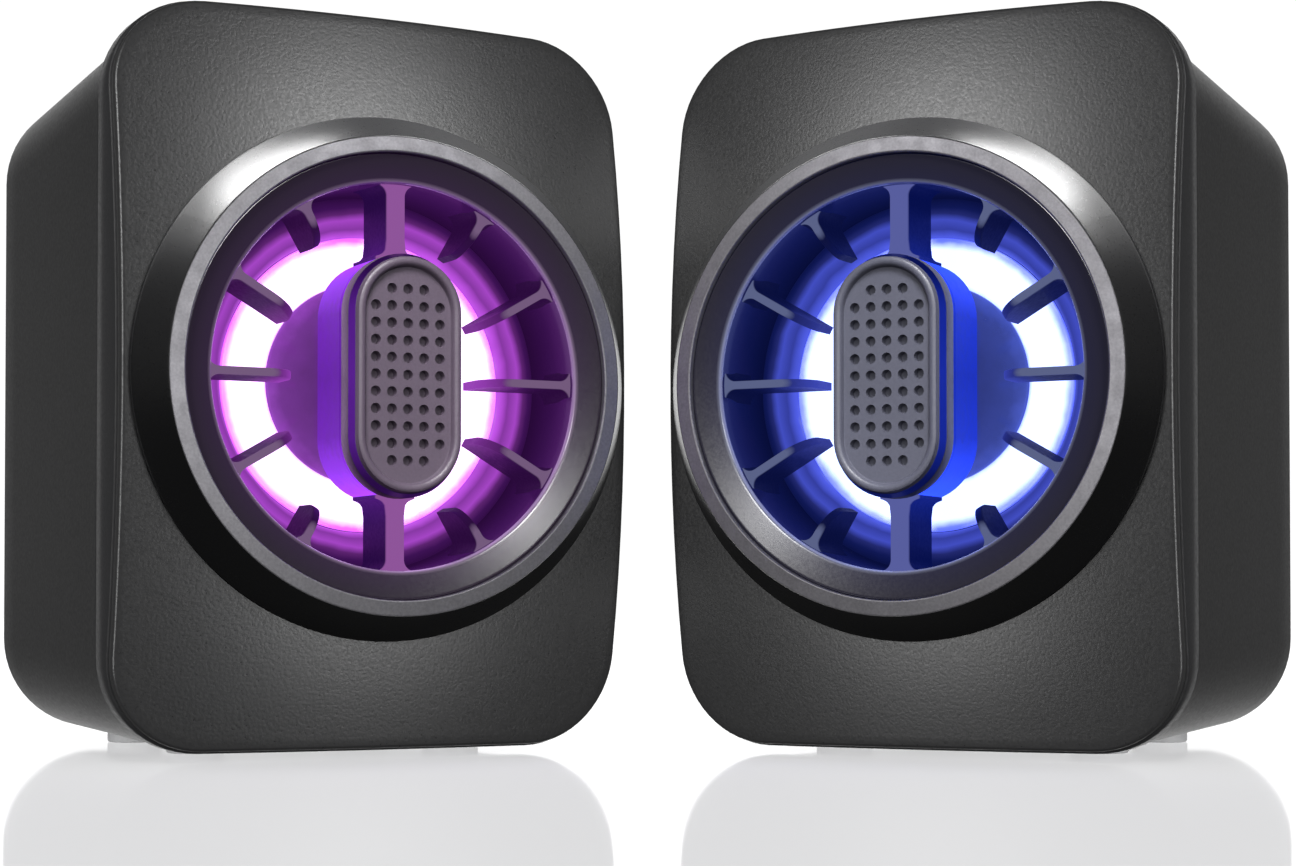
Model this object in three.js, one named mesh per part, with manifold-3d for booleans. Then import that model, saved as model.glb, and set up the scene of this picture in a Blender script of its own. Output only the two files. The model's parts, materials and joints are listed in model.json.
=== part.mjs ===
// A pair of small desktop speakers, toed in towards the listener.
// Millimetres, +X to the right, +Y away from the listener, +Z up.
// The origin is on the desk, midway between the two cabinets and midway along their depth.
//
// Each speaker is modelled in its own frame: x across the face, y towards the back, z up.
// Its y = 0 plane passes through the four corners of the domed front, and x = 0 is its middle.
import * as THREE from 'three';
import { mergeVertices } from 'three/addons/utils/BufferGeometryUtils.js';
import Module from 'manifold-3d';

const wasm = await Module();
wasm.setup();

// ---- Driving dimensions ----
const HEIGHT = 100;
const WIDTH = 72.6;
const BODY_DEPTH = 61.2;             // corner plane to the back panel
const DESK_GAP = 0.7;                // air under the front frame
const CORNER = 12.7;                 // corner radius of the front outline
const BACK_CORNER = 13.5;
const DOME = 190.8;                  // radius of the domed front
const CLEAR = 0.3;                   // gap between pieces that touch

const TOE_IN = THREE.MathUtils.degToRad(27.5);
const SPREAD = 53;                   // middle of a cabinet to the middle of the pair
const SETBACK = 6.1;                 // middle of a cabinet behind the middle of the pair
const PIVOT = BODY_DEPTH / 2;        // middle of a cabinet's depth, in its own frame

const SEAM = 2.1;                    // joint between front frame and rear shell
const WALL = 2.2;
const SPIGOT = 3.3;                  // inset of the frame's register inside the shell
const BAFFLE = 4.8;                  // front of the driver board
const BAFFLE_BACK = 6.8;
const FASCIA_RISE = 1.72;            // fascia surface above the frame's front edge
const FASCIA_INSET = 0.35;

const RING_BASE = 34.95;             // outer radius of the trim ring
const RING_BASE_DEPTH = 9.3;
const RING_TOP = 31.6;
const RING_TOP_DEPTH = 14.75;
const SILVER_OUTER = 31.3;
const SILVER_INNER = 29.95;
const BAND_OUTER = 29.45;
const OPENING = 25.6;                // radius of the sound opening
const BAND_DEPTH = 13.4;
const SPOKES = 12;                   // ten thin fins and two thick bars
const SPOKE_FRONT = 12.2;
const SPOKE_BACK = 3.6;
const FIN_GAP = 5.4;                 // from the pill's outline to a fin's free end
const FIN_WIDTH = 1.1;
const FIN_NOSE = 4.5;                // rounding of a fin's free corner
const BAR_WIDTH = 2.6;

const PILL_X = 7.9;                  // half width and half height of the centre pill
const PILL_Z = 16.1;
const PILL_BACK = 12.5;
const PILL_SHOULDER = 15.2;
const PILL_FRONT = 17.4;
const LIP_X = 7.22;
const LIP_Z = 15.3;
const PLATE_X = 6.04;
const PLATE_Z = 14.2;
const PLATE_DEPTH = 16.4;
const HOLE_PITCH = 2.25;
const HOLE_RADIUS = 0.65;
const HOLE_DEPTH = 1.2;
const HOLE_ROWS = [3, 5, 5, 5, 5, 5, 5, 5, 5, 5, 3];

const CONE_OUTER = 19.8;
const COIL_RADIUS = 8;
const DUST_CAP_RADIUS = 13.4;
const DUST_CAP_RISE = 3.6;
const BASKET_OUTER = 27.5;
const BASKET_HOLE = 24.2;            // hole for the basket in the driver board
const MAGNET_RADIUS = 17.5;

const FOOT_RADIUS = 4;
const FOOT_HEIGHT = 2.4;
const FEET = [[-19, 14], [19, 14], [-18, 47], [18, 47]];
const SCREWS = [[-24.5, 10.5], [24.5, 10.5], [-24.5, 88.5], [24.5, 88.5]];
const SCREW_HEAD = 2.8;
const SCREW_SHANK = 1.4;
const BOSS_RADIUS = 3.4;
const BOSS_END = 55.5;

const GLAND = [-18, 17];             // x and z of the cable gland
const KNOB = [12, 62];               // x and z of the volume knob
const KNOB_RADIUS = 9;
const SHAFT_RADIUS = 3;
const BUTTON = [-14, 62];            // x and z of the light button
const BUTTON_RADIUS = 3.4;

const CORNER_STEPS = 4;
const SIDE_STEPS = 4;
const RING_STEPS = 32;               // sides of the turned pieces that show
const INNER_STEPS = 20;              // sides of the turned pieces inside
const ROD_STEPS = 12;

// Middle height of the front outline, where the sound opening is centred.
const MID = (HEIGHT + DESK_GAP) / 2;
const HALF_W = WIDTH / 2;
const HALF_H = (HEIGHT - DESK_GAP) / 2;

// ---- Geometry helpers ----

// Height of the domed front in front of the corner plane, at x and z from its middle.
function dome(x, z) {
  const flat = Math.sqrt(DOME ** 2 - HALF_W ** 2 - HALF_H ** 2);
  return Math.sqrt(DOME ** 2 - x * x - z * z) - flat;
}

// Points of a rounded rectangle, anticlockwise in x and z, the same number for every size.
function outline(halfW, top, bottom, radius) {
  const centres = [
    [halfW - radius, top - radius],
    [-halfW + radius, top - radius],
    [-halfW + radius, bottom + radius],
    [halfW - radius, bottom + radius],
  ];
  const points = [];
  for (let corner = 0; corner < 4; corner += 1) {
    const [cx, cz] = centres[corner];
    for (let step = 0; step <= CORNER_STEPS; step += 1) {
      const angle = (corner + step / CORNER_STEPS) * Math.PI / 2;
      points.push([cx + radius * Math.cos(angle), cz + radius * Math.sin(angle)]);
    }
    const [x0, z0] = points[points.length - 1];
    const [nx, nz] = centres[(corner + 1) % 4];
    const turn = (corner + 1) * Math.PI / 2;
    const x1 = nx + radius * Math.cos(turn);
    const z1 = nz + radius * Math.sin(turn);
    for (let step = 1; step < SIDE_STEPS; step += 1) {
      const t = step / SIDE_STEPS;
      points.push([x0 + (x1 - x0) * t, z0 + (z1 - z0) * t]);
    }
  }
  return points;
}

// The front outline, moved inwards by an inset.
function frontOutline(inset) {
  return outline(HALF_W - inset, HALF_H - inset, -HALF_H + inset, CORNER - inset);
}

// A ring of points at one depth, or at a depth given by a function of x and z.
function ringAt(points, depth) {
  const y = typeof depth === 'function' ? depth : () => depth;
  return points.map(([x, z]) => new THREE.Vector3(x, y(x, z), z + MID));
}

// Points of a circle, each in line with the matching point of an outline.
function circleLike(points, radius) {
  return points.map(([x, z]) => {
    const length = Math.hypot(x, z);
    return [x * radius / length, z * radius / length];
  });
}

// Points of a stadium, upright, with round ends.
function stadium(halfX, halfZ, steps = 7) {
  const points = [];
  for (const end of [1, -1]) {
    for (let step = 0; step <= steps; step += 1) {
      const angle = step / steps * Math.PI + (end > 0 ? 0 : Math.PI);
      points.push([halfX * Math.cos(angle), end * (halfZ - halfX) + halfX * Math.sin(angle)]);
    }
  }
  return points;
}

// Signed volume of an indexed geometry.
function volume(geometry) {
  const position = geometry.getAttribute('position');
  const index = geometry.getIndex();
  const corners = [new THREE.Vector3(), new THREE.Vector3(), new THREE.Vector3()];
  let total = 0;
  for (let i = 0; i < index.count; i += 3) {
    corners.forEach((corner, k) => corner.fromBufferAttribute(position, index.getX(i + k)));
    total += corners[0].dot(corners[1].clone().cross(corners[2])) / 6;
  }
  return total;
}

// Merges shared corners and turns the faces outwards.
function closed(geometry) {
  const bare = geometry.clone();
  bare.deleteAttribute('normal');
  bare.deleteAttribute('uv');
  const merged = mergeVertices(bare, 1e-4);
  if (volume(merged) < 0) {
    const index = merged.getIndex();
    for (let i = 0; i < index.count; i += 3) {
      const first = index.getX(i);
      index.setX(i, index.getX(i + 1));
      index.setX(i + 1, first);
    }
  }
  return merged;
}

// Skin over rings of points. Open ends are capped on a middle point; a looped skin joins its ends.
function loft(rings, looped = false) {
  const count = rings[0].length;
  const vertices = rings.flat();
  const faces = [];
  const last = looped ? rings.length : rings.length - 1;
  for (let r = 0; r < last; r += 1) {
    const a = r * count;
    const b = ((r + 1) % rings.length) * count;
    for (let i = 0; i < count; i += 1) {
      const j = (i + 1) % count;
      faces.push(a + i, b + i, a + j, a + j, b + i, b + j);
    }
  }
  if (!looped) {
    for (const [ring, flip] of [[rings[0], false], [rings[rings.length - 1], true]]) {
      const start = ring === rings[0] ? 0 : (rings.length - 1) * count;
      const middle = new THREE.Vector3();
      ring.forEach((point) => middle.addScaledVector(point, 1 / count));
      const centre = vertices.push(middle) - 1;
      for (let i = 0; i < count; i += 1) {
        const j = (i + 1) % count;
        faces.push(centre, start + (flip ? j : i), start + (flip ? i : j));
      }
    }
  }
  const geometry = new THREE.BufferGeometry().setFromPoints(vertices);
  geometry.setIndex(faces);
  return closed(geometry);
}

// Turned piece about the sound axis, from a closed profile of [radius, depth] points.
function turned(profile, steps = INNER_STEPS) {
  const points = profile.map(([radius, y]) => new THREE.Vector2(radius, y));
  const closes = profile[0][0] > 0 || profile[profile.length - 1][0] > 0;
  if (closes) {
    points.push(points[0].clone());
  }
  return closed(new THREE.LatheGeometry(points, steps).translate(0, 0, MID));
}

// Plain rod along y, at x and z.
function rod(x, z, radius, y0, y1, steps = ROD_STEPS) {
  const geometry = new THREE.CylinderGeometry(radius, radius, y1 - y0, steps);
  return closed(geometry.translate(x, (y0 + y1) / 2, z));
}

function block(x0, x1, y0, y1, z0, z1) {
  const geometry = new THREE.BoxGeometry(x1 - x0, y1 - y0, z1 - z0);
  return closed(geometry.translate((x0 + x1) / 2, (y0 + y1) / 2, (z0 + z1) / 2));
}

function toSolid(geometry) {
  const merged = closed(geometry);
  return new wasm.Manifold(new wasm.Mesh({
    numProp: 3,
    vertProperties: new Float32Array(merged.getAttribute('position').array),
    triVerts: new Uint32Array(merged.getIndex().array),
  }));
}

function fromSolid(solid) {
  const mesh = solid.getMesh();
  const geometry = new THREE.BufferGeometry();
  geometry.setAttribute('position', new THREE.BufferAttribute(mesh.vertProperties, 3));
  geometry.setIndex(new THREE.BufferAttribute(mesh.triVerts, 1));
  return geometry;
}

function cut(base, tools) {
  return fromSolid(tools.reduce((solid, tool) => solid.subtract(toSolid(tool)), toSolid(base)));
}

function join(pieces) {
  return fromSolid(pieces.map(toSolid).reduce((solid, piece) => solid.add(piece)));
}

// ---- Finishes ----
const finish = (color, roughness, metalness = 0) => ({ color, roughness, metalness });
const SHELL_BLACK = finish(0x2c2c2e, 0.5);
const FACE_GREY = finish(0x3c3c3e, 0.55);
const GLOSS_BLACK = finish(0x0c0c0e, 0.2);
const SILVER = finish(0xa9a6ab, 0.35, 0.6);
const GRILLE_GREY = finish(0x3a353c, 0.6);
const PILL_GREY = finish(0x6a666e, 0.5);
const LIT_LEFT = finish(0xe9b6ff, 0.4);
const LIT_RIGHT = finish(0xb4c6ff, 0.4);
const RUBBER = finish(0x18181a, 0.85);
const PALE_RUBBER = finish(0xc3c4c6, 0.5);
const STEEL = finish(0x9a9da2, 0.4, 0.9);
const FERRITE = finish(0x2a2a2c, 0.75);
const BOARD = finish(0x1d5a34, 0.6);
const COPPER = finish(0xb06a36, 0.35, 0.9);
const CLOTH = finish(0xb98a3c, 0.9);

// ---- Sub-parts of one speaker ----

// Moulded front: an outer band up to the domed edge, a register behind it, the driver board
// across it with a round hole, and four long screw bosses.
function frontFrame() {
  const edge = frontOutline(0);
  const inner = frontOutline(WALL);
  const front = (x, z) => -dome(x, z);
  const rings = [
    ringAt(edge, front),
    ringAt(edge, SEAM - CLEAR / 2),
    ringAt(frontOutline(SPIGOT), SEAM - CLEAR / 2),
    ringAt(frontOutline(SPIGOT), BAFFLE_BACK),
    ringAt(circleLike(edge, BASKET_HOLE), BAFFLE_BACK),
    ringAt(circleLike(edge, BASKET_HOLE), BAFFLE),
    ringAt(frontOutline(SPIGOT + 1.7), BAFFLE),
    ringAt(frontOutline(SPIGOT + 1.7), 0),
    ringAt(inner, 0),
    ringAt(inner, front),
  ];
  const bosses = SCREWS.map(([x, z]) => rod(x, z, BOSS_RADIUS, BAFFLE + 0.5, BOSS_END, 8));
  const pilots = SCREWS.map(([x, z]) => (
    rod(x, z, SCREW_SHANK + CLEAR, BOSS_END - 12, BOSS_END + 1, 8)
  ));
  return cut(join([loft(rings, true), ...bosses]), pilots);
}

// Thin domed plate over the whole front, with a round hole for the trim ring.
function fascia() {
  const edge = frontOutline(FASCIA_INSET);
  const bevel = frontOutline(FASCIA_INSET + 0.4);
  const scaled = (factor) => edge.map(([x, z]) => [x * factor, z * factor]);
  const back = (x, z) => -dome(x, z) - CLEAR;
  const front = (x, z) => -dome(x, z) - FASCIA_RISE;
  const shoulder = (x, z) => front(x, z) + 0.4;
  const plate = loft([
    ringAt(scaled(0.6), back),
    ringAt(scaled(0.8), back),
    ringAt(edge, back),
    ringAt(edge, shoulder),
    ringAt(bevel, front),
    ringAt(scaled(0.8), front),
    ringAt(scaled(0.6), front),
  ]);
  return cut(plate, [rod(0, MID, RING_BASE + CLEAR + 0.1, -15, 0, 48)]);
}

// Deep tub, tapering a little to the back, with its bottom almost level. The openings for the
// gland, screws, knob and button are cut through its back wall, and the feet sit in pockets.
function rearShell(isMaster) {
  const section = (side, top, bottom, radius) => (
    outline(HALF_W - side, HALF_H - top, -HALF_H + bottom, radius)
  );
  const seam = SEAM + CLEAR / 2;
  const rings = [
    ringAt(section(3, 3.6, 2.4, BACK_CORNER - 1.2), BODY_DEPTH),
    ringAt(section(2.15, 2.75, 1.55, BACK_CORNER - 0.35), BODY_DEPTH - 0.35),
    ringAt(section(1.8, 2.4, 1.2, BACK_CORNER), BODY_DEPTH - 1.2),
    ringAt(section(0.7, 1.2, 0.2, CORNER), seam),
    ringAt(frontOutline(SPIGOT - CLEAR), seam),
    ringAt(frontOutline(SPIGOT - CLEAR), BAFFLE_BACK + 1),
    ringAt(section(4, 4.6, 3.4, BACK_CORNER - WALL), BODY_DEPTH - WALL - 0.2),
  ];
  const back = BODY_DEPTH + 1;
  const tools = SCREWS.flatMap(([x, z]) => [
    rod(x, z, SCREW_HEAD + CLEAR, BODY_DEPTH - 1.4, back),
    rod(x, z, SCREW_SHANK + CLEAR, BOSS_END, back, 8),
  ]);
  tools.push(rod(...GLAND, 3.5, BOSS_END, back));
  FEET.forEach(([x, y]) => tools.push(footDisc(x, y, FOOT_RADIUS + CLEAR, -1, FOOT_HEIGHT + CLEAR)));
  if (isMaster) {
    tools.push(rod(...KNOB, SHAFT_RADIUS + CLEAR, BOSS_END, back));
    tools.push(rod(...BUTTON, BUTTON_RADIUS + CLEAR, BOSS_END, back));
  }
  return cut(loft(rings), tools);
}

// Black conical ring with a groove in its front for the silver ring.
function trimRing() {
  return turned([
    [32.4, -6],
    [33.6, -6],
    [33.6, -7.5],
    [RING_BASE, -7.5],
    [RING_BASE, -RING_BASE_DEPTH],
    [RING_TOP, -RING_TOP_DEPTH],
    [RING_TOP, -13.1],
    [29.75, -13.1],
    [29.75, -11.9],
    [31.5, -11.9],
  ], RING_STEPS);
}

function silverRing() {
  return turned([
    [SILVER_INNER, -13.4],
    [SILVER_OUTER, -13.4],
    [SILVER_OUTER, -RING_TOP_DEPTH],
    [SILVER_INNER + 0.15, -15],
    [SILVER_INNER, -14.85],
  ], RING_STEPS);
}

// Radius at which a fin ends, so that all free ends keep the same gap to the pill's outline.
function finInner(angle) {
  const half = PILL_X + FIN_GAP;
  const centre = PILL_Z - PILL_X;
  const across = Math.abs(Math.cos(angle));
  const up = Math.abs(Math.sin(angle));
  const flat = half / Math.max(across, 1e-6);
  return flat * up <= centre ? flat : centre * up + Math.sqrt(half ** 2 - (centre * across) ** 2);
}

// One thin fin, as a plate in the plane through the sound axis, with its free corner rounded.
function fin(angle) {
  const inner = finInner(angle);
  const shape = new THREE.Shape();
  shape.moveTo(OPENING + 0.6, SPOKE_FRONT);
  shape.lineTo(inner + FIN_NOSE, SPOKE_FRONT);
  shape.absarc(inner + FIN_NOSE, SPOKE_FRONT - FIN_NOSE, FIN_NOSE, Math.PI / 2, Math.PI, false);
  shape.lineTo(inner, SPOKE_BACK);
  shape.lineTo(OPENING + 0.6, SPOKE_BACK);
  const plate = new THREE.ExtrudeGeometry(shape, {
    depth: FIN_WIDTH,
    bevelEnabled: false,
    curveSegments: 3,
  });
  plate.translate(0, 0, -FIN_WIDTH / 2);
  plate.rotateX(Math.PI);
  plate.rotateY(-angle);
  return plate.translate(0, 0, MID);
}

// Spoked grille: the inner band with its skirt, ten fins, two bars and the hollow pedestal.
function grille() {
  const band = turned([
    [OPENING, -BAND_DEPTH + 0.3],
    [OPENING + 0.3, -BAND_DEPTH],
    [BAND_OUTER, -14.2],
    [BAND_OUTER, -11.4],
    [28.2, -10.6],
    [28.2, 2.6],
    [26, 2.6],
    [OPENING, -SPOKE_FRONT + 1.2],
  ], RING_STEPS);
  const pedestal = loft([
    ringAt(stadium(PILL_X - 1.6, PILL_Z - 1.6), -SPOKE_FRONT + 1.6),
    ringAt(stadium(PILL_X - 1.6, PILL_Z - 1.6), -SPOKE_BACK),
    ringAt(stadium(PILL_X, PILL_Z), -SPOKE_BACK),
    ringAt(stadium(PILL_X, PILL_Z), -SPOKE_FRONT),
  ]);
  const bars = [1, -1].map((side) => {
    const ends = [MID + side * (PILL_Z - 0.8), MID + side * (OPENING + 0.6)];
    return block(
      -BAR_WIDTH / 2,
      BAR_WIDTH / 2,
      -SPOKE_FRONT,
      -SPOKE_BACK,
      Math.min(...ends),
      Math.max(...ends),
    );
  });
  const fins = [];
  for (let spoke = 0; spoke < SPOKES; spoke += 1) {
    if (spoke % (SPOKES / 2) !== SPOKES / 4) {
      fins.push(fin(spoke * 2 * Math.PI / SPOKES));
    }
  }
  return join([band, pedestal, ...bars, ...fins]);
}

// Centre pill: a stepped stadium with a raised lip round a perforated plate.
function pillCap() {
  const body = loft([
    ringAt(stadium(PILL_X, PILL_Z), -PILL_BACK),
    ringAt(stadium(PILL_X, PILL_Z), -PILL_SHOULDER),
    ringAt(stadium(LIP_X + 0.1, LIP_Z + 0.1), -PILL_FRONT + 0.6),
    ringAt(stadium(LIP_X, LIP_Z), -PILL_FRONT),
    ringAt(stadium(PLATE_X, PLATE_Z), -PILL_FRONT),
    ringAt(stadium(PLATE_X, PLATE_Z), -PLATE_DEPTH),
  ]);
  const holes = HOLE_ROWS.flatMap((count, row) => {
    const z = MID + ((HOLE_ROWS.length - 1) / 2 - row) * HOLE_PITCH;
    return Array.from({ length: count }, (_, column) => {
      const x = (column - (count - 1) / 2) * HOLE_PITCH;
      return rod(x, z, HOLE_RADIUS, -PLATE_DEPTH - 0.5, -PLATE_DEPTH + HOLE_DEPTH, 4);
    });
  });
  return cut(body, holes);
}

// Ring-shaped lamp board behind the cone, with its lamps facing the listener.
function lampBoard() {
  const board = turned([[10.2, 5.8], [20, 5.8], [20, 6.8], [10.2, 6.8]]);
  const lamps = [];
  for (let lamp = 0; lamp < 8; lamp += 1) {
    const piece = block(14, 16.6, 5, 6.1, -1.3, 1.3);
    piece.rotateY(lamp * Math.PI / 4);
    lamps.push(piece.translate(0, 0, MID));
  }
  return join([board, ...lamps]);
}

// Pressed steel basket with four windows in its tapered wall.
function basket() {
  const body = turned([
    [22.6, BAFFLE - 1.1],
    [BASKET_OUTER, BAFFLE - 1.1],
    [BASKET_OUTER, BAFFLE - CLEAR],
    [23, BAFFLE - CLEAR],
    [20.6, 11.5],
    [17.6, 11.5],
    [16, 16],
    [9.5, 16],
    [9.5, 15.2],
    [15.4, 15.2],
    [17, 10.7],
    [20, 10.7],
  ]);
  const windows = [];
  for (let side = 0; side < 4; side += 1) {
    const tool = block(10, 26, 12, 14.6, -6, 6);
    tool.rotateY(side * Math.PI / 2);
    windows.push(tool.translate(0, 0, MID));
  }
  return cut(body, windows);
}

function topPlate() {
  return turned([[8.9, 16.3], [15, 16.3], [15, 18.3], [8.9, 18.3]]);
}

function magnet() {
  return turned([[10, 18.6], [MAGNET_RADIUS, 18.6], [MAGNET_RADIUS, 26], [10, 26]]);
}

function yoke() {
  return turned([[0, 16.4], [7.4, 16.4], [7.4, 26.3], [15.5, 26.3], [15.5, 28.8], [0, 28.8]]);
}

function voiceCoil() {
  return turned([[COIL_RADIUS, 5.2], [8.5, 5.2], [8.5, 19.5], [COIL_RADIUS, 19.5]]);
}

// Translucent cone: almost flat where it shows, steeper under the dust cap.
function cone() {
  return turned([
    [7.6, 4.4],
    [10.5, 2.6],
    [DUST_CAP_RADIUS, 1.2],
    [CONE_OUTER, 0.3],
    [CONE_OUTER, 0.9],
    [DUST_CAP_RADIUS, 1.8],
    [10.5, 3.2],
    [7.6, 4.9],
  ], 24);
}

// Domed cap over the middle of the cone, as a thin shell.
function dustCap() {
  const rim = 0.85;
  const sphere = (DUST_CAP_RADIUS ** 2 + DUST_CAP_RISE ** 2) / (2 * DUST_CAP_RISE);
  const steps = 3;
  const arc = (radius, offset) => {
    const end = Math.asin(DUST_CAP_RADIUS / sphere);
    return Array.from({ length: steps + 1 }, (_, i) => {
      const angle = end * i / steps;
      return [radius * Math.sin(angle), rim - DUST_CAP_RISE + sphere - radius * Math.cos(angle) + offset];
    });
  };
  const outer = arc(sphere, 0);
  const inner = arc(sphere, 0.5).reverse();
  inner[0] = [DUST_CAP_RADIUS - 0.6, rim];
  return turned([...outer, ...inner], 24);
}

// Half-round rubber roll between the cone's edge and the basket's rim.
function surround() {
  const roll = (radius) => {
    const points = [];
    for (let step = 0; step <= 3; step += 1) {
      const angle = Math.PI * step / 3;
      points.push([22.85 - radius * Math.cos(angle), 0.6 - radius * Math.sin(angle)]);
    }
    return points;
  };
  return turned([
    ...roll(2.6),
    [25.45, 2.9],
    [27.3, 2.9],
    [27.3, 3.4],
    [25, 3.4],
    ...roll(2.15).reverse(),
    [20.15, 1],
  ], 24);
}

// Corrugated cloth disc that centres the coil, stepped back towards the basket's ledge.
function spider() {
  return turned([
    [8.8, 8.4],
    [11.5, 8],
    [14, 9.2],
    [17, 9.9],
    [19.4, 9.9],
    [19.4, 10.4],
    [16.8, 10.4],
    [14, 9.7],
    [11.5, 8.5],
    [8.8, 8.9],
  ]);
}

function footDisc(x, y, radius, z0, z1) {
  const geometry = new THREE.CylinderGeometry(radius, radius, z1 - z0, ROD_STEPS);
  geometry.rotateX(Math.PI / 2);
  return closed(geometry.translate(x, y, (z0 + z1) / 2));
}

// Slotted case screw with its head in the back panel's counterbore.
function caseScrew(x, z) {
  const head = rod(x, z, SCREW_HEAD, BODY_DEPTH - 1.1, BODY_DEPTH - 0.2);
  const shank = rod(x, z, SCREW_SHANK, BOSS_END - 9, BODY_DEPTH - 0.9, 8);
  const slot = block(x - 2, x + 2, BODY_DEPTH - 0.6, BODY_DEPTH, z - 0.4, z + 0.4);
  return cut(join([head, shank]), [slot]);
}

// Snap-in grommet with a bore for a lead.
function cableGland(x, z, bore) {
  const inside = BODY_DEPTH - WALL - 0.2 - CLEAR;
  const profile = [
    [bore, inside - 1.2],
    [4.8, inside - 1.2],
    [4.8, inside],
    [3.2, inside],
    [3.2, BODY_DEPTH + CLEAR],
    [4.8, BODY_DEPTH + CLEAR],
    [4.8, BODY_DEPTH + 1.3],
    [3.6, BODY_DEPTH + 3.6],
    [bore, BODY_DEPTH + 3.6],
  ];
  return turned(profile, 16).translate(x, 0, z - MID);
}

// ---- Controls on the back of the right-hand speaker ----

// Amplifier board with its power chip, two cans and the row of lead sockets.
function amplifierBoard() {
  return join([
    block(-24, 24, 43.4, 45, 36, 76),
    block(-6, 6, 45 - 4.4, 43.6, 42, 50),
    rod(-16, 44, 3.2, 36, 43.6),
    rod(-16, 53, 3.2, 36, 43.6),
    block(4, 20, 37.5, 43.6, 68, 74),
  ]);
}

function volumePot() {
  const [x, z] = KNOB;
  const body = block(x - 6, x + 6, 45.3, 52, z - 7, z + 7);
  return cut(body, [rod(x, z, SHAFT_RADIUS + CLEAR, 47.5, 53)]);
}

function volumeShaft() {
  return rod(...KNOB, SHAFT_RADIUS, 48, BODY_DEPTH + 7);
}

// Ribbed thumb knob with a blind bore for the shaft and a pointer groove.
function volumeKnob() {
  const [x, z] = KNOB;
  const face = BODY_DEPTH + 10;
  const shape = new THREE.Shape();
  const teeth = 24;
  for (let step = 0; step < teeth * 2; step += 1) {
    const radius = step % 2 ? KNOB_RADIUS - 0.5 : KNOB_RADIUS;
    const angle = step * Math.PI / teeth;
    shape[step ? 'lineTo' : 'moveTo'](radius * Math.cos(angle), radius * Math.sin(angle));
  }
  const skirt = new THREE.ExtrudeGeometry(shape, { depth: 9, bevelEnabled: false });
  skirt.rotateX(Math.PI / 2);
  skirt.translate(x, face, z);
  const bore = rod(x, z, SHAFT_RADIUS + CLEAR, BODY_DEPTH, BODY_DEPTH + 7.3);
  const pointer = block(x - 0.6, x + 0.6, face - 0.6, face + 1, z + 2, z + KNOB_RADIUS + 1);
  return cut(skirt, [bore, pointer]);
}

function lightSwitch() {
  const [x, z] = BUTTON;
  return block(x - 3.5, x + 3.5, 45.3, 51.5, z - 3.5, z + 3.5);
}

function lightButton() {
  const [x, z] = BUTTON;
  const cap = rod(x, z, BUTTON_RADIUS, BODY_DEPTH - 4.5, BODY_DEPTH + 1.8, 16);
  const stem = rod(x, z, 1.5, 53.2, BODY_DEPTH - 4.4);
  return join([cap, stem]);
}

// ---- Assembly ----

function piece(name, geometry, look) {
  const mesh = new THREE.Mesh(geometry, new THREE.MeshStandardMaterial(look));
  mesh.name = name;
  return mesh;
}

function speaker(side, isMaster, lit) {
  const group = new THREE.Group();
  const add = (name, geometry, look) => group.add(piece(`${side}_${name}`, geometry, look));
  add('rear_shell', rearShell(isMaster), SHELL_BLACK);
  add('front_frame', frontFrame(), SHELL_BLACK);
  add('fascia', fascia(), FACE_GREY);
  add('trim_ring', trimRing(), GLOSS_BLACK);
  add('silver_ring', silverRing(), SILVER);
  add('grille', grille(), GRILLE_GREY);
  add('pill_cap', pillCap(), PILL_GREY);
  add('basket', basket(), STEEL);
  add('top_plate', topPlate(), STEEL);
  add('magnet', magnet(), FERRITE);
  add('yoke', yoke(), STEEL);
  add('lamp_board', lampBoard(), BOARD);
  add('spider', spider(), CLOTH);
  add('voice_coil', voiceCoil(), COPPER);
  add('cone', cone(), lit);
  add('dust_cap', dustCap(), GLOSS_BLACK);
  add('surround', surround(), RUBBER);
  add('cable_gland', cableGland(...GLAND, isMaster ? 2 : 1.5), RUBBER);
  FEET.forEach(([x, y], i) => add(`foot_${i + 1}`, footDisc(x, y, FOOT_RADIUS, 0, FOOT_HEIGHT), PALE_RUBBER));
  SCREWS.forEach(([x, z], i) => add(`case_screw_${i + 1}`, caseScrew(x, z), STEEL));
  if (isMaster) {
    group.add(piece('amplifier_board', amplifierBoard(), BOARD));
    group.add(piece('volume_pot', volumePot(), STEEL));
    group.add(piece('volume_shaft', volumeShaft(), STEEL));
    group.add(piece('volume_knob', volumeKnob(), SHELL_BLACK));
    group.add(piece('light_switch', lightSwitch(), SHELL_BLACK));
    group.add(piece('light_button', lightButton(), GLOSS_BLACK));
  }
  return group;
}

// Stands a speaker on the desk, turned about the middle of its own depth.
function stand(group, x, angle) {
  group.children.forEach((mesh) => mesh.geometry.translate(0, -PIVOT, 0));
  group.rotation.z = angle;
  group.position.set(x, SETBACK, 0);
  return group;
}

const pair = new THREE.Group();
pair.add(stand(speaker('left', false, LIT_LEFT), -SPREAD, TOE_IN));
pair.add(stand(speaker('right', true, LIT_RIGHT), SPREAD, -TOE_IN));

export default pair;
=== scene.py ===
import json
import math

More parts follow.
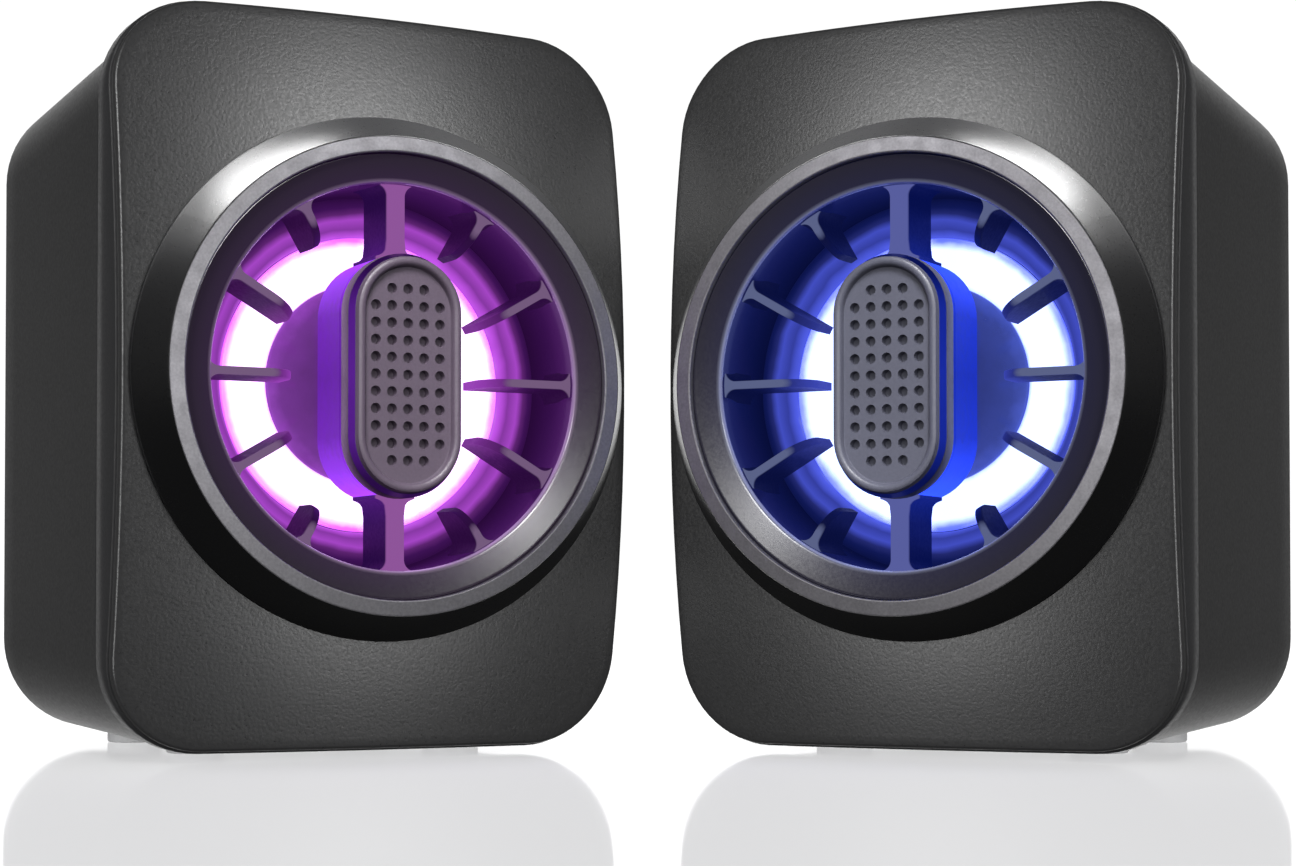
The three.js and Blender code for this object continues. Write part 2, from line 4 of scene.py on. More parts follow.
import bmesh
import bpy
import numpy as np
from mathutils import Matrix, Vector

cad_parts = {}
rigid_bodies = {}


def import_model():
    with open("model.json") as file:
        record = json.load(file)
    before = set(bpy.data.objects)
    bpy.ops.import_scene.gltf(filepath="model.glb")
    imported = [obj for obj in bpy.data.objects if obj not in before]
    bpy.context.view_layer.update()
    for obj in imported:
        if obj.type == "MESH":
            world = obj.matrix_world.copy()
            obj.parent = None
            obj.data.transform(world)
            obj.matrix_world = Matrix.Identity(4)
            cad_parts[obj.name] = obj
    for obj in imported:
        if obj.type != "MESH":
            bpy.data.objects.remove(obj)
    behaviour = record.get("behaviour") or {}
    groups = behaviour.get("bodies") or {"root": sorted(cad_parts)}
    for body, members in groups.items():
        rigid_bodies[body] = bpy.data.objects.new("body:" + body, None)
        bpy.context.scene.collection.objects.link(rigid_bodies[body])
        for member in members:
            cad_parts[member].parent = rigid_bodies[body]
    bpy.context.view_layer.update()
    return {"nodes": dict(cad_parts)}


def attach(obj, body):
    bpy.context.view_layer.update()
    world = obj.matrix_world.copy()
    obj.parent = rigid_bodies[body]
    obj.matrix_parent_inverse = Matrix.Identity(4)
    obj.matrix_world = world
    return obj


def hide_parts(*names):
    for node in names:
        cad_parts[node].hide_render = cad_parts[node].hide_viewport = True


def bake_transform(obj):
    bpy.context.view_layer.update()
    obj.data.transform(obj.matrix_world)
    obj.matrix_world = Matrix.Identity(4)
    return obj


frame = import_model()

# ---- Rear shells ----
# Each cabinet is a deep injection-moulded tub in black ABS with a fine satin texture, drafted a
# little towards the back. Its back panel has counterbored screw holes and the control openings.

SIDES = {"left": -1, "right": 1}
HALF_WIDTH = 36.3
HALF_HEIGHT = 49.65
MIDDLE = 50.35                  # height of the sound axis
CORNER = 12.7
SPREAD = 53.0                   # cabinet's middle to the middle of the pair
SETBACK = 6.1
PIVOT = 30.6                    # middle of the cabinet's depth
TOE_IN = math.radians(27.5)
BACK_PANEL = 61.2
BACK_EDGE = 1.4                 # rounding round the back panel
SHELL_FRONT = 2.25
SHELL_INSET = 3                 # inset of the shell's front opening
SHELL_STEP = 7.8                # depth to which that opening runs straight
BACK_INSIDE = 58.8              # inside face of the back panel
MERGE = 2e-6                    # metres within which points are the same point
SCREWS = [(-24.5, 10.5), (24.5, 10.5), (-24.5, 88.5), (24.5, 88.5)]
FEET = [(-19, 14), (19, 14), (-18, 47), (18, 47)]
GLAND = (-18, 17)
KNOB = (12, 62)
BUTTON = (-14, 62)


def placed(points, side):
    """Takes a cabinet's own millimetres to the shared frame in metres: the points turn about the
    middle of the cabinet by the toe-in, and move sideways by half the spread of the pair."""
    turn = -SIDES[side] * TOE_IN
    x, y, z = points[:, 0], points[:, 1] - PIVOT, points[:, 2]
    across = SIDES[side] * SPREAD + x * math.cos(turn) - y * math.sin(turn)
    away = SETBACK + x * math.sin(turn) + y * math.cos(turn)
    return np.stack([across, away, z], axis=-1) / 1000


def skin(grid, looped=True):
    """A grid of points becomes a skin with one four-sided face per cell. It always closes round
    its columns, and when looped its last row joins its first."""
    rows, columns = grid.shape[:2]
    index = np.arange(rows * columns).reshape(rows, columns)
    index = np.concatenate([index, index[:, :1]], axis=1)
    if looped:
        index = np.concatenate([index, index[:1]], axis=0)
    faces = [index[:-1, :-1], index[:-1, 1:], index[1:, 1:], index[1:, :-1]]
    return grid.reshape(-1, 3), np.stack(faces, axis=-1).reshape(-1, 4)


def solid(name, side, skins, crease=32):
    """Joins skins into one mesh object, merges the points that meet, and turns faces outwards."""
    starts = np.cumsum([0] + [len(points) for points, faces in skins[:-1]])
    points = placed(np.concatenate([points for points, faces in skins]), side)
    faces = np.concatenate([faces + start for (_, faces), start in zip(skins, starts)])
    mesh = bpy.data.meshes.new(name)
    mesh.from_pydata(points, [], faces)
    work = bmesh.new()
    work.from_mesh(mesh)
    bmesh.ops.remove_doubles(work, verts=work.verts, dist=MERGE)
    bmesh.ops.recalc_face_normals(work, faces=work.faces)
    work.to_mesh(mesh)
    work.free()
    mesh.shade_smooth()
    mesh.set_sharp_from_angle(angle=math.radians(crease))
    piece = bpy.data.objects.new(name, mesh)
    bpy.context.scene.collection.objects.link(piece)
    return piece


def outline(half_width, top, bottom, radius):
    """Rounded rectangle in x and z: four quarter circles, each followed by a straight run to the
    next, with points spread evenly along both."""
    angle = np.linspace(0, math.pi / 2, 15)
    start = np.arange(4)[:, None] * math.pi / 2
    across = np.array([1, -1, -1, 1])[:, None] * (half_width - radius)
    up = np.array([top - radius, top - radius, bottom + radius, bottom + radius])[:, None]
    turn = start + angle
    arcs = np.stack([across + radius * np.cos(turn), up + radius * np.sin(turn)], axis=-1)
    share = np.linspace(0, 1, 14)[None, 1:-1, None]
    runs = arcs[:, -1:] * (1 - share) + np.roll(arcs[:, :1], -1, axis=0) * share
    return np.concatenate([arcs, runs], axis=1).reshape(-1, 2)


def front_outline(inset):
    return outline(
        HALF_WIDTH - inset, HALF_HEIGHT - inset, inset - HALF_HEIGHT, max(CORNER - inset, 1)
    )


def shell_outline(side, top, bottom, radius):
    return outline(HALF_WIDTH - side, HALF_HEIGHT - top, bottom - HALF_HEIGHT, radius)


def ring(flat, depth):
    """A row of points at one depth, or at a depth for each point."""
    x, z = flat[:, 0], flat[:, 1]
    return np.stack([x, np.broadcast_to(depth, x.shape), z + MIDDLE], axis=-1)


def turned(profile, sides=96, looped=True, x=0.0, z=MIDDLE):
    """A profile of (radius, depth) carried once round an axis that runs from front to back:
    each point goes round a circle of its own radius, at its own depth."""
    radius, depth = np.asarray(profile, float).T
    angle = np.linspace(0, 2 * math.pi, sides, endpoint=False)
    grid = np.stack([
        x + radius[:, None] * np.cos(angle),
        np.repeat(depth[:, None], sides, axis=1),
        z + radius[:, None] * np.sin(angle),
    ], axis=-1)
    return skin(grid, looped)


def upright(levels, sides, x, y):
    """A profile of (radius, height) carried once round an upright axis."""
    radius, height = np.asarray(levels, float).T[:, :, None]
    angle = np.linspace(0, 2 * math.pi, sides, endpoint=False)
    height = np.repeat(height, sides, axis=1)
    grid = [x + radius * np.cos(angle), y + radius * np.sin(angle), height]
    return skin(np.stack(grid, axis=-1), False)


def slab(sections, x, z):
    """Four-cornered outlines, each at its own depth, joined from the first to the last."""
    rows = [np.stack([x + flat[:, 0], np.full(4, depth), z + flat[:, 1]], axis=-1)
            for flat, depth in sections]
    return skin(np.array(rows), False)


def carved(piece, side, tools, crease=32):
    """Cuts closed skins out of a piece."""
    cutter = solid("cutter", side, tools)
    cut = piece.modifiers.new("cut", "BOOLEAN")
    cut.object = cutter
    cut.solver = "EXACT"
    shape = piece.evaluated_get(bpy.context.evaluated_depsgraph_get())
    piece.data = bpy.data.meshes.new_from_object(shape)
    piece.modifiers.clear()
    bpy.data.objects.remove(cutter)
    work = bmesh.new()
    work.from_mesh(piece.data)
    bmesh.ops.remove_doubles(work, verts=work.verts, dist=MERGE)
    work.to_mesh(piece.data)
    work.free()
    piece.data.shade_smooth()
    piece.data.set_sharp_from_angle(angle=math.radians(crease))
    return piece


class Finish:
    """A node material that starts as a bare shader and its object coordinates."""

    def __init__(self, name):
        self.material = bpy.data.materials.new(name)
        self.material.use_nodes = True
        self.nodes = self.material.node_tree.nodes
        self.links = self.material.node_tree.links
        self.shader = self.nodes["Principled BSDF"]
        self.place = self.nodes.new("ShaderNodeTexCoord").outputs["Object"]

    def add(self, kind, inputs=None, **settings):
        node = self.nodes.new(kind)
        for key, value in settings.items():
            setattr(node, key, value)
        for key, value in (inputs or {}).items():
            if isinstance(value, bpy.types.NodeSocket):
                self.links.new(value, node.inputs[key])
            else:
                node.inputs[key].default_value = value
        return node

    def feed(self, socket, source):
        self.links.new(source, self.shader.inputs[socket])

    def hold(self, **values):
        for key, value in values.items():
            self.shader.inputs[key.replace("_", " ")].default_value = value

    def noise(self, size, detail=2.0, place=None, rough=0.5):
        """Noise whose features are about size millimetres across."""
        inputs = {"Vector": place or self.place, "Scale": 1000 / size, "Detail": detail,
                  "Roughness": rough}
        return self.add("ShaderNodeTexNoise", inputs).outputs["Fac"]

    def spread(self, source, low, high, start=0.3, end=0.7):
        inputs = {"Value": source, "From Min": start, "From Max": end, "To Min": low,
                  "To Max": high}
        return self.add("ShaderNodeMapRange", inputs).outputs["Result"]

    def ramp(self, source, stops):
        node = self.add("ShaderNodeValToRGB", {"Fac": source})
        band = node.color_ramp
        while len(band.elements) < len(stops):
            band.elements.new(0.5)
        for element, (position, colour) in zip(band.elements, stops):
            element.position = position
            element.color = (*colour, 1)
        return node.outputs["Color"]

    def relief(self, height, strength, distance):
        inputs = {"Height": height, "Strength": strength, "Distance": distance / 1000}
        self.feed("Normal", self.add("ShaderNodeBump", inputs).outputs["Normal"])


def moulded(name, colour, grain=0.45, depth=0.02, rough=(0.42, 0.55), tone=0.12, **held):
    """Moulded plastic: broad drifts of tone, an etched grain in its relief, and a roughness that
    follows the grain."""
    finish = Finish(name)
    drift = finish.noise(18, 3)
    pale, dark = ([c * (1 + s * tone) for c in colour] for s in (1, -1))
    speck = finish.noise(grain * 0.7, 2)
    mixed = finish.add("ShaderNodeMath", {0: drift, 1: speck}, operation="MULTIPLY_ADD")
    mixed.inputs[2].default_value = 0.25
    finish.feed("Base Color", finish.ramp(mixed.outputs[0], [(0.3, dark), (0.7, pale)]))
    etched = finish.noise(grain, 3)
    finish.feed("Roughness", finish.spread(etched, *rough))
    finish.relief(etched, 0.5, depth)
    finish.hold(**held)
    return finish.material


shell_plastic = moulded("shell_plastic", (0.014, 0.014, 0.015), 0.5, 0.014, (0.36, 0.46))

BORE = 55.5                     # depth at which the screw bosses end
SCREW_HOLE = 1.7
COUNTERBORE = 3.1
COUNTERBORE_FLOOR = 59.8
PAST_BACK = 63                  # cutting tools end behind the back panel
GLAND_HOLE, SHAFT_HOLE, BUTTON_HOLE = 3.5, 3.3, 3.7
POCKET_RADIUS, POCKET_HEIGHT = 4.3, 2.7

for side in SIDES:
    seam = [(1.0, 1.5, 0.5, CORNER, SHELL_FRONT), (0.76, 1.26, 0.26, CORNER, SHELL_FRONT + 0.1),
            (0.7, 1.2, 0.2, CORNER, SHELL_FRONT + 0.35)]
    walls = [(0.7 + 1.1 * t, 1.2 + 1.2 * t, 0.2 + t, CORNER + 0.8 * t, SHELL_FRONT + 57.55 * t)
             for t in np.linspace(0.05, 1, 9)]
    rounded = [(1.8 + BACK_EDGE * (1 - math.cos(t)), 2.4 + BACK_EDGE * (1 - math.cos(t)),
                1.2 + BACK_EDGE * (1 - math.cos(t)), CORNER + 0.8 - BACK_EDGE * (1 - math.cos(t)),
                BACK_PANEL - BACK_EDGE * (1 - math.sin(t)))
               for t in np.linspace(0.2, math.pi / 2, 7)]
    rows = [ring(shell_outline(*section[:4]), section[4]) for section in seam + walls + rounded]
    back = shell_outline(*rounded[-1][:4])
    rows += [ring(back * share, BACK_PANEL) for share in (0.85, 0.5, 0)]
    inner = shell_outline(4, 4.6, 3.4, CORNER - 1.4)
    rows += [ring(inner * share, BACK_INSIDE) for share in (0, 0.5, 1)]
    mouth = front_outline(SHELL_INSET)
    rows += [ring(mouth, SHELL_STEP), ring(mouth, SHELL_FRONT)]
    shell = solid(f"{side}_shell", side, [skin(np.array(rows))])
    drill = [(0, BORE), (SCREW_HOLE, BORE), (SCREW_HOLE, COUNTERBORE_FLOOR),
             (COUNTERBORE, COUNTERBORE_FLOOR), (COUNTERBORE, PAST_BACK), (0, PAST_BACK)]
    tools = [turned(drill, 40, False, x, z) for x, z in SCREWS]
    controls = [(KNOB, SHAFT_HOLE), (BUTTON, BUTTON_HOLE)] if side == "right" else []
    tools += [turned([(0, BORE), (r, BORE), (r, PAST_BACK), (0, PAST_BACK)], 40, False, x, z)
              for (x, z), r in [(GLAND, GLAND_HOLE)] + controls]
    pocket = [(0, -1), (POCKET_RADIUS, -1), (POCKET_RADIUS, POCKET_HEIGHT), (0, POCKET_HEIGHT)]
    tools += [upright(pocket, 40, x, y) for x, y in FEET]
    carved(shell, side, tools)
    shell.data.materials.append(shell_plastic)
    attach(shell, f"{side}_cabinet")
    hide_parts(f"{side}_rear_shell")

# ---- Front frames ----
# The front of each case is a moulded ABS band that follows the domed face. Behind it are the
# register that enters the shell, the board that holds the driver, and four screw bosses.

DOME = 190.8                    # radius of the domed front
DRIVER_HOLE = 24.2
BAFFLE_FRONT = 4.8
BAFFLE_BACK = 6.8
BOSS = 3.4


def dome(flat):
    """Height of the domed front: a sphere of the dome's radius through the four corners."""
    edge = math.sqrt(DOME**2 - HALF_WIDTH**2 - HALF_HEIGHT**2)
    return np.sqrt(DOME**2 - (flat**2).sum(axis=-1)) - edge


def round_row(flat, radius):
    """Each point moved along its own direction onto a circle."""
    return flat * (radius / np.linalg.norm(flat, axis=-1, keepdims=True))


for side in SIDES:
    edge, eased = front_outline(0), front_outline(0.12)
    circle = round_row(edge, DRIVER_HOLE)
    rows = [
        ring(front_outline(0.3), 1.95), ring(eased, 1.9), ring(edge, 1.65), ring(edge, -0.8),
        ring(edge, 0.35 - dome(edge)), ring(eased, 0.1 - dome(eased)),
        ring(front_outline(0.35), -dome(front_outline(0.35))),
        ring(front_outline(2.2), -dome(front_outline(2.2))),
        ring(front_outline(2.2), 0), ring(front_outline(5), 0),
        ring(front_outline(5), BAFFLE_FRONT), ring(circle, BAFFLE_FRONT),
        ring(circle, BAFFLE_BACK), ring(front_outline(3.3), BAFFLE_BACK),
        ring(front_outline(3.3), 1.95),
    ]
    post = [(SCREW_HOLE, BAFFLE_BACK + 0.1), (BOSS, BAFFLE_BACK + 0.1), (BOSS, BORE),
            (SCREW_HOLE, BORE)]
    bosses = [turned(post, 32, True, x, z) for x, z in SCREWS]
    frame_piece = solid(f"{side}_frame", side, [skin(np.array(rows)), *bosses])
    frame_piece.data.materials.append(shell_plastic)
    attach(frame_piece, f"{side}_cabinet")
    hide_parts(f"{side}_front_frame")

# ---- Fascias ----
# A thin domed cover in dark grey ABS lies over the front frame. It is moulded with a fine
# leather-like grain, and is bonded on with a narrow shadow gap all round.

FASCIA_RISE = 1.72
FASCIA_INSET = 0.35
FASCIA_EDGE = 0.45              # rounding of the outer edge
FASCIA_HOLE = 35.0

face_plastic = moulded("face_plastic", (0.019, 0.019, 0.0195), 0.42, 0.05, (0.27, 0.38), 0.15)

for side in SIDES:
    rim = front_outline(FASCIA_INSET)
    bend = np.linspace(0, math.pi / 2, 6)
    eased = [front_outline(FASCIA_INSET + FASCIA_EDGE * (1 - math.cos(t))) for t in bend]
    drop = FASCIA_EDGE * (1 - np.sin(bend))
    rows = [ring(rim, -dome(rim) - 0.3)]
    rows += [ring(flat, d - FASCIA_RISE - dome(flat)) for flat, d in zip(eased, drop)]
    hole = round_row(eased[-1], FASCIA_HOLE)
    for share in np.linspace(0.08, 1, 13):
        flat = eased[-1] * (1 - share) + hole * share
        rows.append(ring(flat, -FASCIA_RISE - dome(flat)))
    rows.append(ring(hole, -0.3 - dome(hole)))
    fascia = solid(f"{side}_fascia", side, [skin(np.array(rows))])
    fascia.data.materials.append(face_plastic)
    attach(fascia, f"{side}_cabinet")
    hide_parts(f"{side}_fascia")

# ---- Trim rings ----
# A black ABS ring, turned like a shallow cone and polished to a satin gloss, fills the opening
# of the fascia. A groove in its front holds the silver ring.

RING_SIDES = 160


def eased_profile(corners, radius, steps=4):
    """Rounds the corners of a closed profile: each corner becomes a short curve from one edge to
    the next, no longer than the radius or just under half of the shorter edge. Two more points
    near the ends of each straight run keep its shading flat."""
    corners = np.asarray(corners, float)
    before, after = np.roll(corners, 1, axis=0) - corners, np.roll(corners, -1, axis=0) - corners
    lengths = [np.linalg.norm(edge, axis=1, keepdims=True) for edge in (before, after)]
    reach = np.minimum(radius, 0.45 * np.minimum(*lengths))
    start, end = (corners + edge / size * reach for edge, size in zip((before, after), lengths))
    t = np.linspace(0, 1, steps + 1)[None, :, None]
    curve = (1 - t)**2 * start[:, None] + 2 * t * (1 - t) * corners[:, None] + t**2 * end[:, None]
    run = (np.roll(start, -1, axis=0) - end)[:, None] * np.array([0.05, 0.95])[None, :, None]
    return np.concatenate([curve, end[:, None] + run], axis=1).reshape(-1, 2)


ring_plastic = moulded("ring_plastic", (0.006, 0.006, 0.007), 0.25, 0.0005, (0.27, 0.31), 0.1)

for side in SIDES:
    profile = [(32.4, -6), (33.6, -6), (33.6, -7.5), (34.95, -7.5), (34.95, -9.3),
               (31.6, -14.75), (31.6, -13.1), (29.75, -13.1), (29.75, -11.9), (31.5, -11.9)]
    trim = solid(f"{side}_trim", side, [turned(eased_profile(profile, 0.12), RING_SIDES)])
    trim.data.materials.append(ring_plastic)
    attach(trim, f"{side}_cabinet")
    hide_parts(f"{side}_trim_ring")

# ---- Silver rings ----
# A narrow moulded ring, painted satin silver, is pressed into the groove of the trim ring.

silver = Finish("silver_trim")
silver.hold(Metallic=0.6, Coat_Weight=0.1, Coat_Roughness=0.3)
flake = silver.noise(0.35, 2)
silver.feed("Base Color", silver.ramp(flake, [
    (0.3, (0.36, 0.35, 0.38)), (0.7, (0.46, 0.45, 0.48))]))
silver.feed("Roughness", silver.spread(silver.noise(2.5), 0.34, 0.44))
silver.relief(flake, 0.3, 0.006)

for side in SIDES:
    profile = [(29.5, -13.4), (31.57, -13.4), (31.57, -14.78), (29.65, -15), (29.5, -14.9)]
    band = solid(f"{side}_silver", side, [turned(eased_profile(profile, 0.1), RING_SIDES)])
    band.data.materials.append(silver.material)
    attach(band, f"{side}_cabinet")
    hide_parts(f"{side}_silver_ring")

# ---- Grilles ----
# One dark grey ABS moulding: a sloping band round the sound opening, ten thin fins, a thick bar
# above and below, and the stem that carries the centre cap. Fins and bars flare at the band.

OPENING = 25.6
GRILLE_FRONT = 12.2
GRILLE_BACK = 3.6
STEM_X = 7.9                    # half width and half height of the centre cap and its stem
STEM_Z = 16.1
FIN_GAP = 5.4
FIN_NOSE = 4.5
FLARE = 1.5


def fin_end(angle):
    """Radius at which a fin ends: where its direction crosses a round-ended slot outline that
    keeps one gap all round the stem."""
    half, centre = STEM_X + FIN_GAP, STEM_Z - STEM_X
    across, up = abs(math.cos(angle)), abs(math.sin(angle))
    flat = half / max(across, 1e-6)
    if flat * up <= centre:
        return flat
    return centre * up + math.sqrt(half**2 - (centre * across)**2)


def blade(angle, half, start, nose, flares):
    """A plate that runs outwards along one direction: at each distance its cross-section is a
    slot shape with rounded front edges, its front falls away in a quarter circle at a free end,
    and its width grows in a quarter circle near each flare."""
    tip = nose or 1
    out = np.concatenate([start + 0.02 + tip * (1 - np.cos(np.linspace(0, math.pi / 2, 10))),
                          np.linspace(start + tip + 0.4, OPENING - FLARE, 6),
                          OPENING - FLARE + FLARE * np.sin(np.linspace(0.12, math.pi / 2, 9)),
                          [OPENING + 0.7]])
    front = np.full(out.shape, float(GRILLE_FRONT))
    if nose:
        rest = np.clip(start + nose - out, 0, nose)
        front -= nose - np.sqrt(nose**2 - rest**2)
    width = np.full(out.shape, float(half))
    for edge, direction in flares:
        rest = np.clip(FLARE - (edge - out) * direction, 0, FLARE)
        width += FLARE - np.sqrt(FLARE**2 - rest**2)
    ease = np.minimum(0.35, half * 0.6)
    across = np.array([-1, -1, -0.7, 0, 0.7, 1, 1, 1, -1])
    inward = np.array([0, 0, 0.3, 1, 0.3, 0, 0, 0, 0])
    depth_step = np.array([0, 1, 0.3, 0, 0.3, 1, 0, 0, 0])
    u = across[None, :] * width[:, None]
    u = np.where(inward[None, :] == 0.3, np.sign(u) * (width[:, None] - 0.3 * ease), u)
    depth = front[:, None] - ease * depth_step[None, :]
    depth[:, 0] = front - 2 * ease
    depth[:, 6] = front - 2 * ease
    depth[:, 7:] = GRILLE_BACK
    x = out[:, None] * math.cos(angle) - u * math.sin(angle)
    z = out[:, None] * math.sin(angle) + u * math.cos(angle)
    grid = np.stack([x, -depth, z + MIDDLE], axis=-1)
    ends = [np.repeat(grid[k].mean(axis=0)[None, None], len(across), axis=1) for k in (0, -1)]
    return skin(np.concatenate([ends[0], grid, ends[1]]), False)


def slot_outline(half_x, half_z, steps=28):
    """Upright slot shape: two half circles joined by straight runs with points along them."""
    angle = np.linspace(0, math.pi, steps)
    centre = half_z - half_x
    top = np.stack([half_x * np.cos(angle), centre + half_x * np.sin(angle)], axis=-1)
    share = np.linspace(1, -1, 12)[1:-1, None]
    side_run = np.concatenate([np.full_like(share, -half_x), share * centre], axis=1)
    half_shape = np.concatenate([top, side_run])
    return np.concatenate([half_shape, -half_shape])


# Painted light: the lamps' glow on the pieces near the cone, given as emission in these
# colours. The edge, fin and bar colours are painted highlights on front edges, and the pill
# colour is the cap's grey with a painted tint of its own lamps.
PAINTED_LIGHT = {
    "left": {"core": (0.86, 0.56, 1.0), "mid": (0.62, 0.10, 0.92), "wall": (0.21, 0.030, 0.60),
             "deep": (0.045, 0.006, 0.085), "cap": (0.20, 0.042, 0.33),
             "bar": (0.27, 0.088, 0.32), "fin": (0.17, 0.10, 0.20), "edge": (0.40, 0.30, 0.42),
             "pill": (0.080, 0.060, 0.086)},
    "right": {"core": (0.43, 0.53, 1.0), "mid": (0.09, 0.125, 0.88), "wall": (0.018, 0.052, 0.80),
              "deep": (0.005, 0.009, 0.085), "cap": (0.045, 0.070, 0.36),
              "bar": (0.095, 0.11, 0.34), "fin": (0.10, 0.12, 0.24), "edge": (0.32, 0.34, 0.44),
              "pill": (0.072, 0.074, 0.102)},
}


def cabinet_place(finish, side):
    """Object coordinates turned back into a cabinet's own millimetres about its sound axis."""
    inputs = {"Vector": finish.place,
              "Location": (SIDES[side] * SPREAD / 1000, SETBACK / 1000, MIDDLE / 1000),
              "Rotation": (0, 0, -SIDES[side] * TOE_IN), "Scale": (0.001, 0.001, 0.001)}
    return finish.add("ShaderNodeMapping", inputs, vector_type="TEXTURE").outputs["Vector"]


def axis_distance(finish, side):
    """Distance from the sound axis in millimetres: the length of the place without its depth."""
    flat = finish.add("ShaderNodeVectorMath", {0: cabinet_place(finish, side), 1: (1, 0, 1)},
                      operation="MULTIPLY")
    length = finish.add("ShaderNodeVectorMath", {0: flat.outputs[0]}, operation="LENGTH")
    return length.outputs["Value"]


def along(finish, side, axis):
    """One of a cabinet's own coordinates in millimetres: X across, Y back from its pivot, Z up."""
    place = cabinet_place(finish, side)
    return finish.add("ShaderNodeSeparateXYZ", {0: place}).outputs[axis]


def height_off(finish, side):
    """Distance above or below the sound axis, in millimetres."""
    height = along(finish, side, "Z")
    return finish.add("ShaderNodeMath", {0: height}, operation="ABSOLUTE").outputs[0]


def wavering(finish, noise, amount, distance):
    """A distance with some noise added, so that the shades set by it wander a little."""
    inputs = {0: noise, 1: amount, 2: distance}
    return finish.add("ShaderNodeMath", inputs, operation="MULTIPLY_ADD").outputs[0]


def tint(colour, share):
    return [c * share for c in colour]


def front_edge_highlight_mask(finish, side):
    """Mask of a painted highlight: one on the front edges of the grille's blades, falling to
    nothing just behind them.
    """
    front = -PIVOT - GRILLE_FRONT
    return finish.spread(along(finish, side, "Y"), 1, 0, front + 0.15, front + 0.6)


def blade_with_painted_light(name, side, far, near, edge):
    """Grille plastic with painted light: emission in the lamps' colour runs from the near shade by
    the cone out to the dark far one, and a painted highlight makes the front edges paler."""
    lit = Finish(name)
    grain = lit.noise(0.5, 3)
    reach = wavering(lit, grain, 0.8, axis_distance(lit, side))
    # Painted light: the lamps' colour near the cone, darkening outwards.
    wall = lit.ramp(lit.spread(reach, 0, 1, 13.5, 26), [
        (0, near), (0.25, tint(near, 0.4)), (0.5, tint(far, 1.6)), (0.8, far)])
    # Painted highlight: paler emission on the front edges.
    inputs = {0: front_edge_highlight_mask(lit, side), 6: wall, 7: (*edge, 1)}
    mix = lit.add("ShaderNodeMix", inputs, data_type="RGBA")
    lit.feed("Emission Color", mix.outputs[2])
    lit.feed("Base Color", lit.ramp(grain, [
        (0.3, (0.006, 0.004, 0.007)), (0.7, (0.010, 0.008, 0.012))]))
    lit.feed("Roughness", lit.spread(grain, 0.4, 0.55))
    lit.hold(Emission_Strength=1.0, Specular_IOR_Level=0.2)
    lit.relief(grain, 0.3, 0.03)
    return lit.material


def band_satin_with_painted_light(side):
    """Satin grille plastic on the band's sloping face. A painted highlight makes the edge of the
    opening paler, painted shade makes the wall behind that edge almost black, and a painted glow
    of the lamps lies next to the opening and fades outwards."""
    satin = Finish(f"{side}_band_satin")
    grain = satin.noise(0.4, 3)
    depth = along(satin, side, "Y")
    wall_end, face_start = -PIVOT - 12.5, -PIVOT - 13.5
    painted_light_zone = satin.spread(depth, 0, 1, wall_end, face_start)
    # Painted shade: the near-black wall behind the opening. Painted highlight: its paler edge.
    black, edge, face = (0.004, 0.002, 0.006), PAINTED_LIGHT[side]["edge"], (0.022, 0.019, 0.023)
    satin.feed("Base Color", satin.ramp(painted_light_zone, [
        (0.1, black), (0.45, edge), (0.8, edge), (1, face)]))
    satin.feed("Roughness", satin.spread(grain, 0.19, 0.23))
    satin.feed("Specular IOR Level", satin.spread(depth, 0.1, 0.8, wall_end, face_start))
    # Painted glow of the lamps, strongest at the opening and fading outwards.
    painted_spill = [tint(PAINTED_LIGHT[side]["deep"], share) for share in (0.8, 0.3, 0.12)]
    reach = satin.spread(axis_distance(satin, side), 0, 1, 25.6, 29.2)
    satin.feed("Emission Color", satin.ramp(reach, [
        (0.02, painted_spill[0]), (0.12, painted_spill[1]), (1, painted_spill[2])]))
    satin.hold(Emission_Strength=1.0)
    satin.relief(grain, 0.3, 0.004)
    return satin.material


for side in SIDES:
    profile = [(OPENING, -13.0), (OPENING + 0.2, -13.4), (29.45, -14.2), (29.45, -11.4),
               (28.2, -10.6), (28.2, 2.6), (26, 2.6), (OPENING, -11)]
    grille = solid(f"{side}_band", side, [turned(eased_profile(profile, 0.3), RING_SIDES)])
    grille.data.materials.append(band_satin_with_painted_light(side))
    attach(grille, f"{side}_cabinet")
    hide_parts(f"{side}_grille")

for side in SIDES:
    mid, deep, wall = (PAINTED_LIGHT[side][key] for key in ("mid", "deep", "wall"))
    fins = [blade(spoke * math.pi / 6, 0.55, fin_end(spoke * math.pi / 6), FIN_NOSE, [(OPENING, 1)])
            for spoke in range(12) if spoke % 6 != 3]
    bars = [blade(turn * math.pi / 2, 1.3, STEM_Z - 0.6, 0, [(OPENING, 1), (STEM_Z, -1)])
            for turn in (1, 3)]
    # Painted light on fins and bars: far and near glow, then the painted highlight of the front
    # edges.
    looks = {"fins": (fins, tint(deep, 0.45), tint(mid, 0.5), PAINTED_LIGHT[side]["fin"]),
             "bars": (bars, tint(wall, 0.08), tint(wall, 0.6), PAINTED_LIGHT[side]["bar"])}
    for name, (parts, far, near, edge) in looks.items():
        part = solid(f"{side}_{name}", side, parts)
        part.data.materials.append(blade_with_painted_light(f"{side}_lit_{name}", side, far, near, edge))
        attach(part, f"{side}_cabinet")

# ---- Lit stems ----
# The stem behind the centre cap is part of the grille. Its wall carries painted light of the
# lamps: emission that is strongest towards its two ends, over a base colour tinted the same way.

STEM_WALL = 1.6
STEM_FLOOR = 10.6

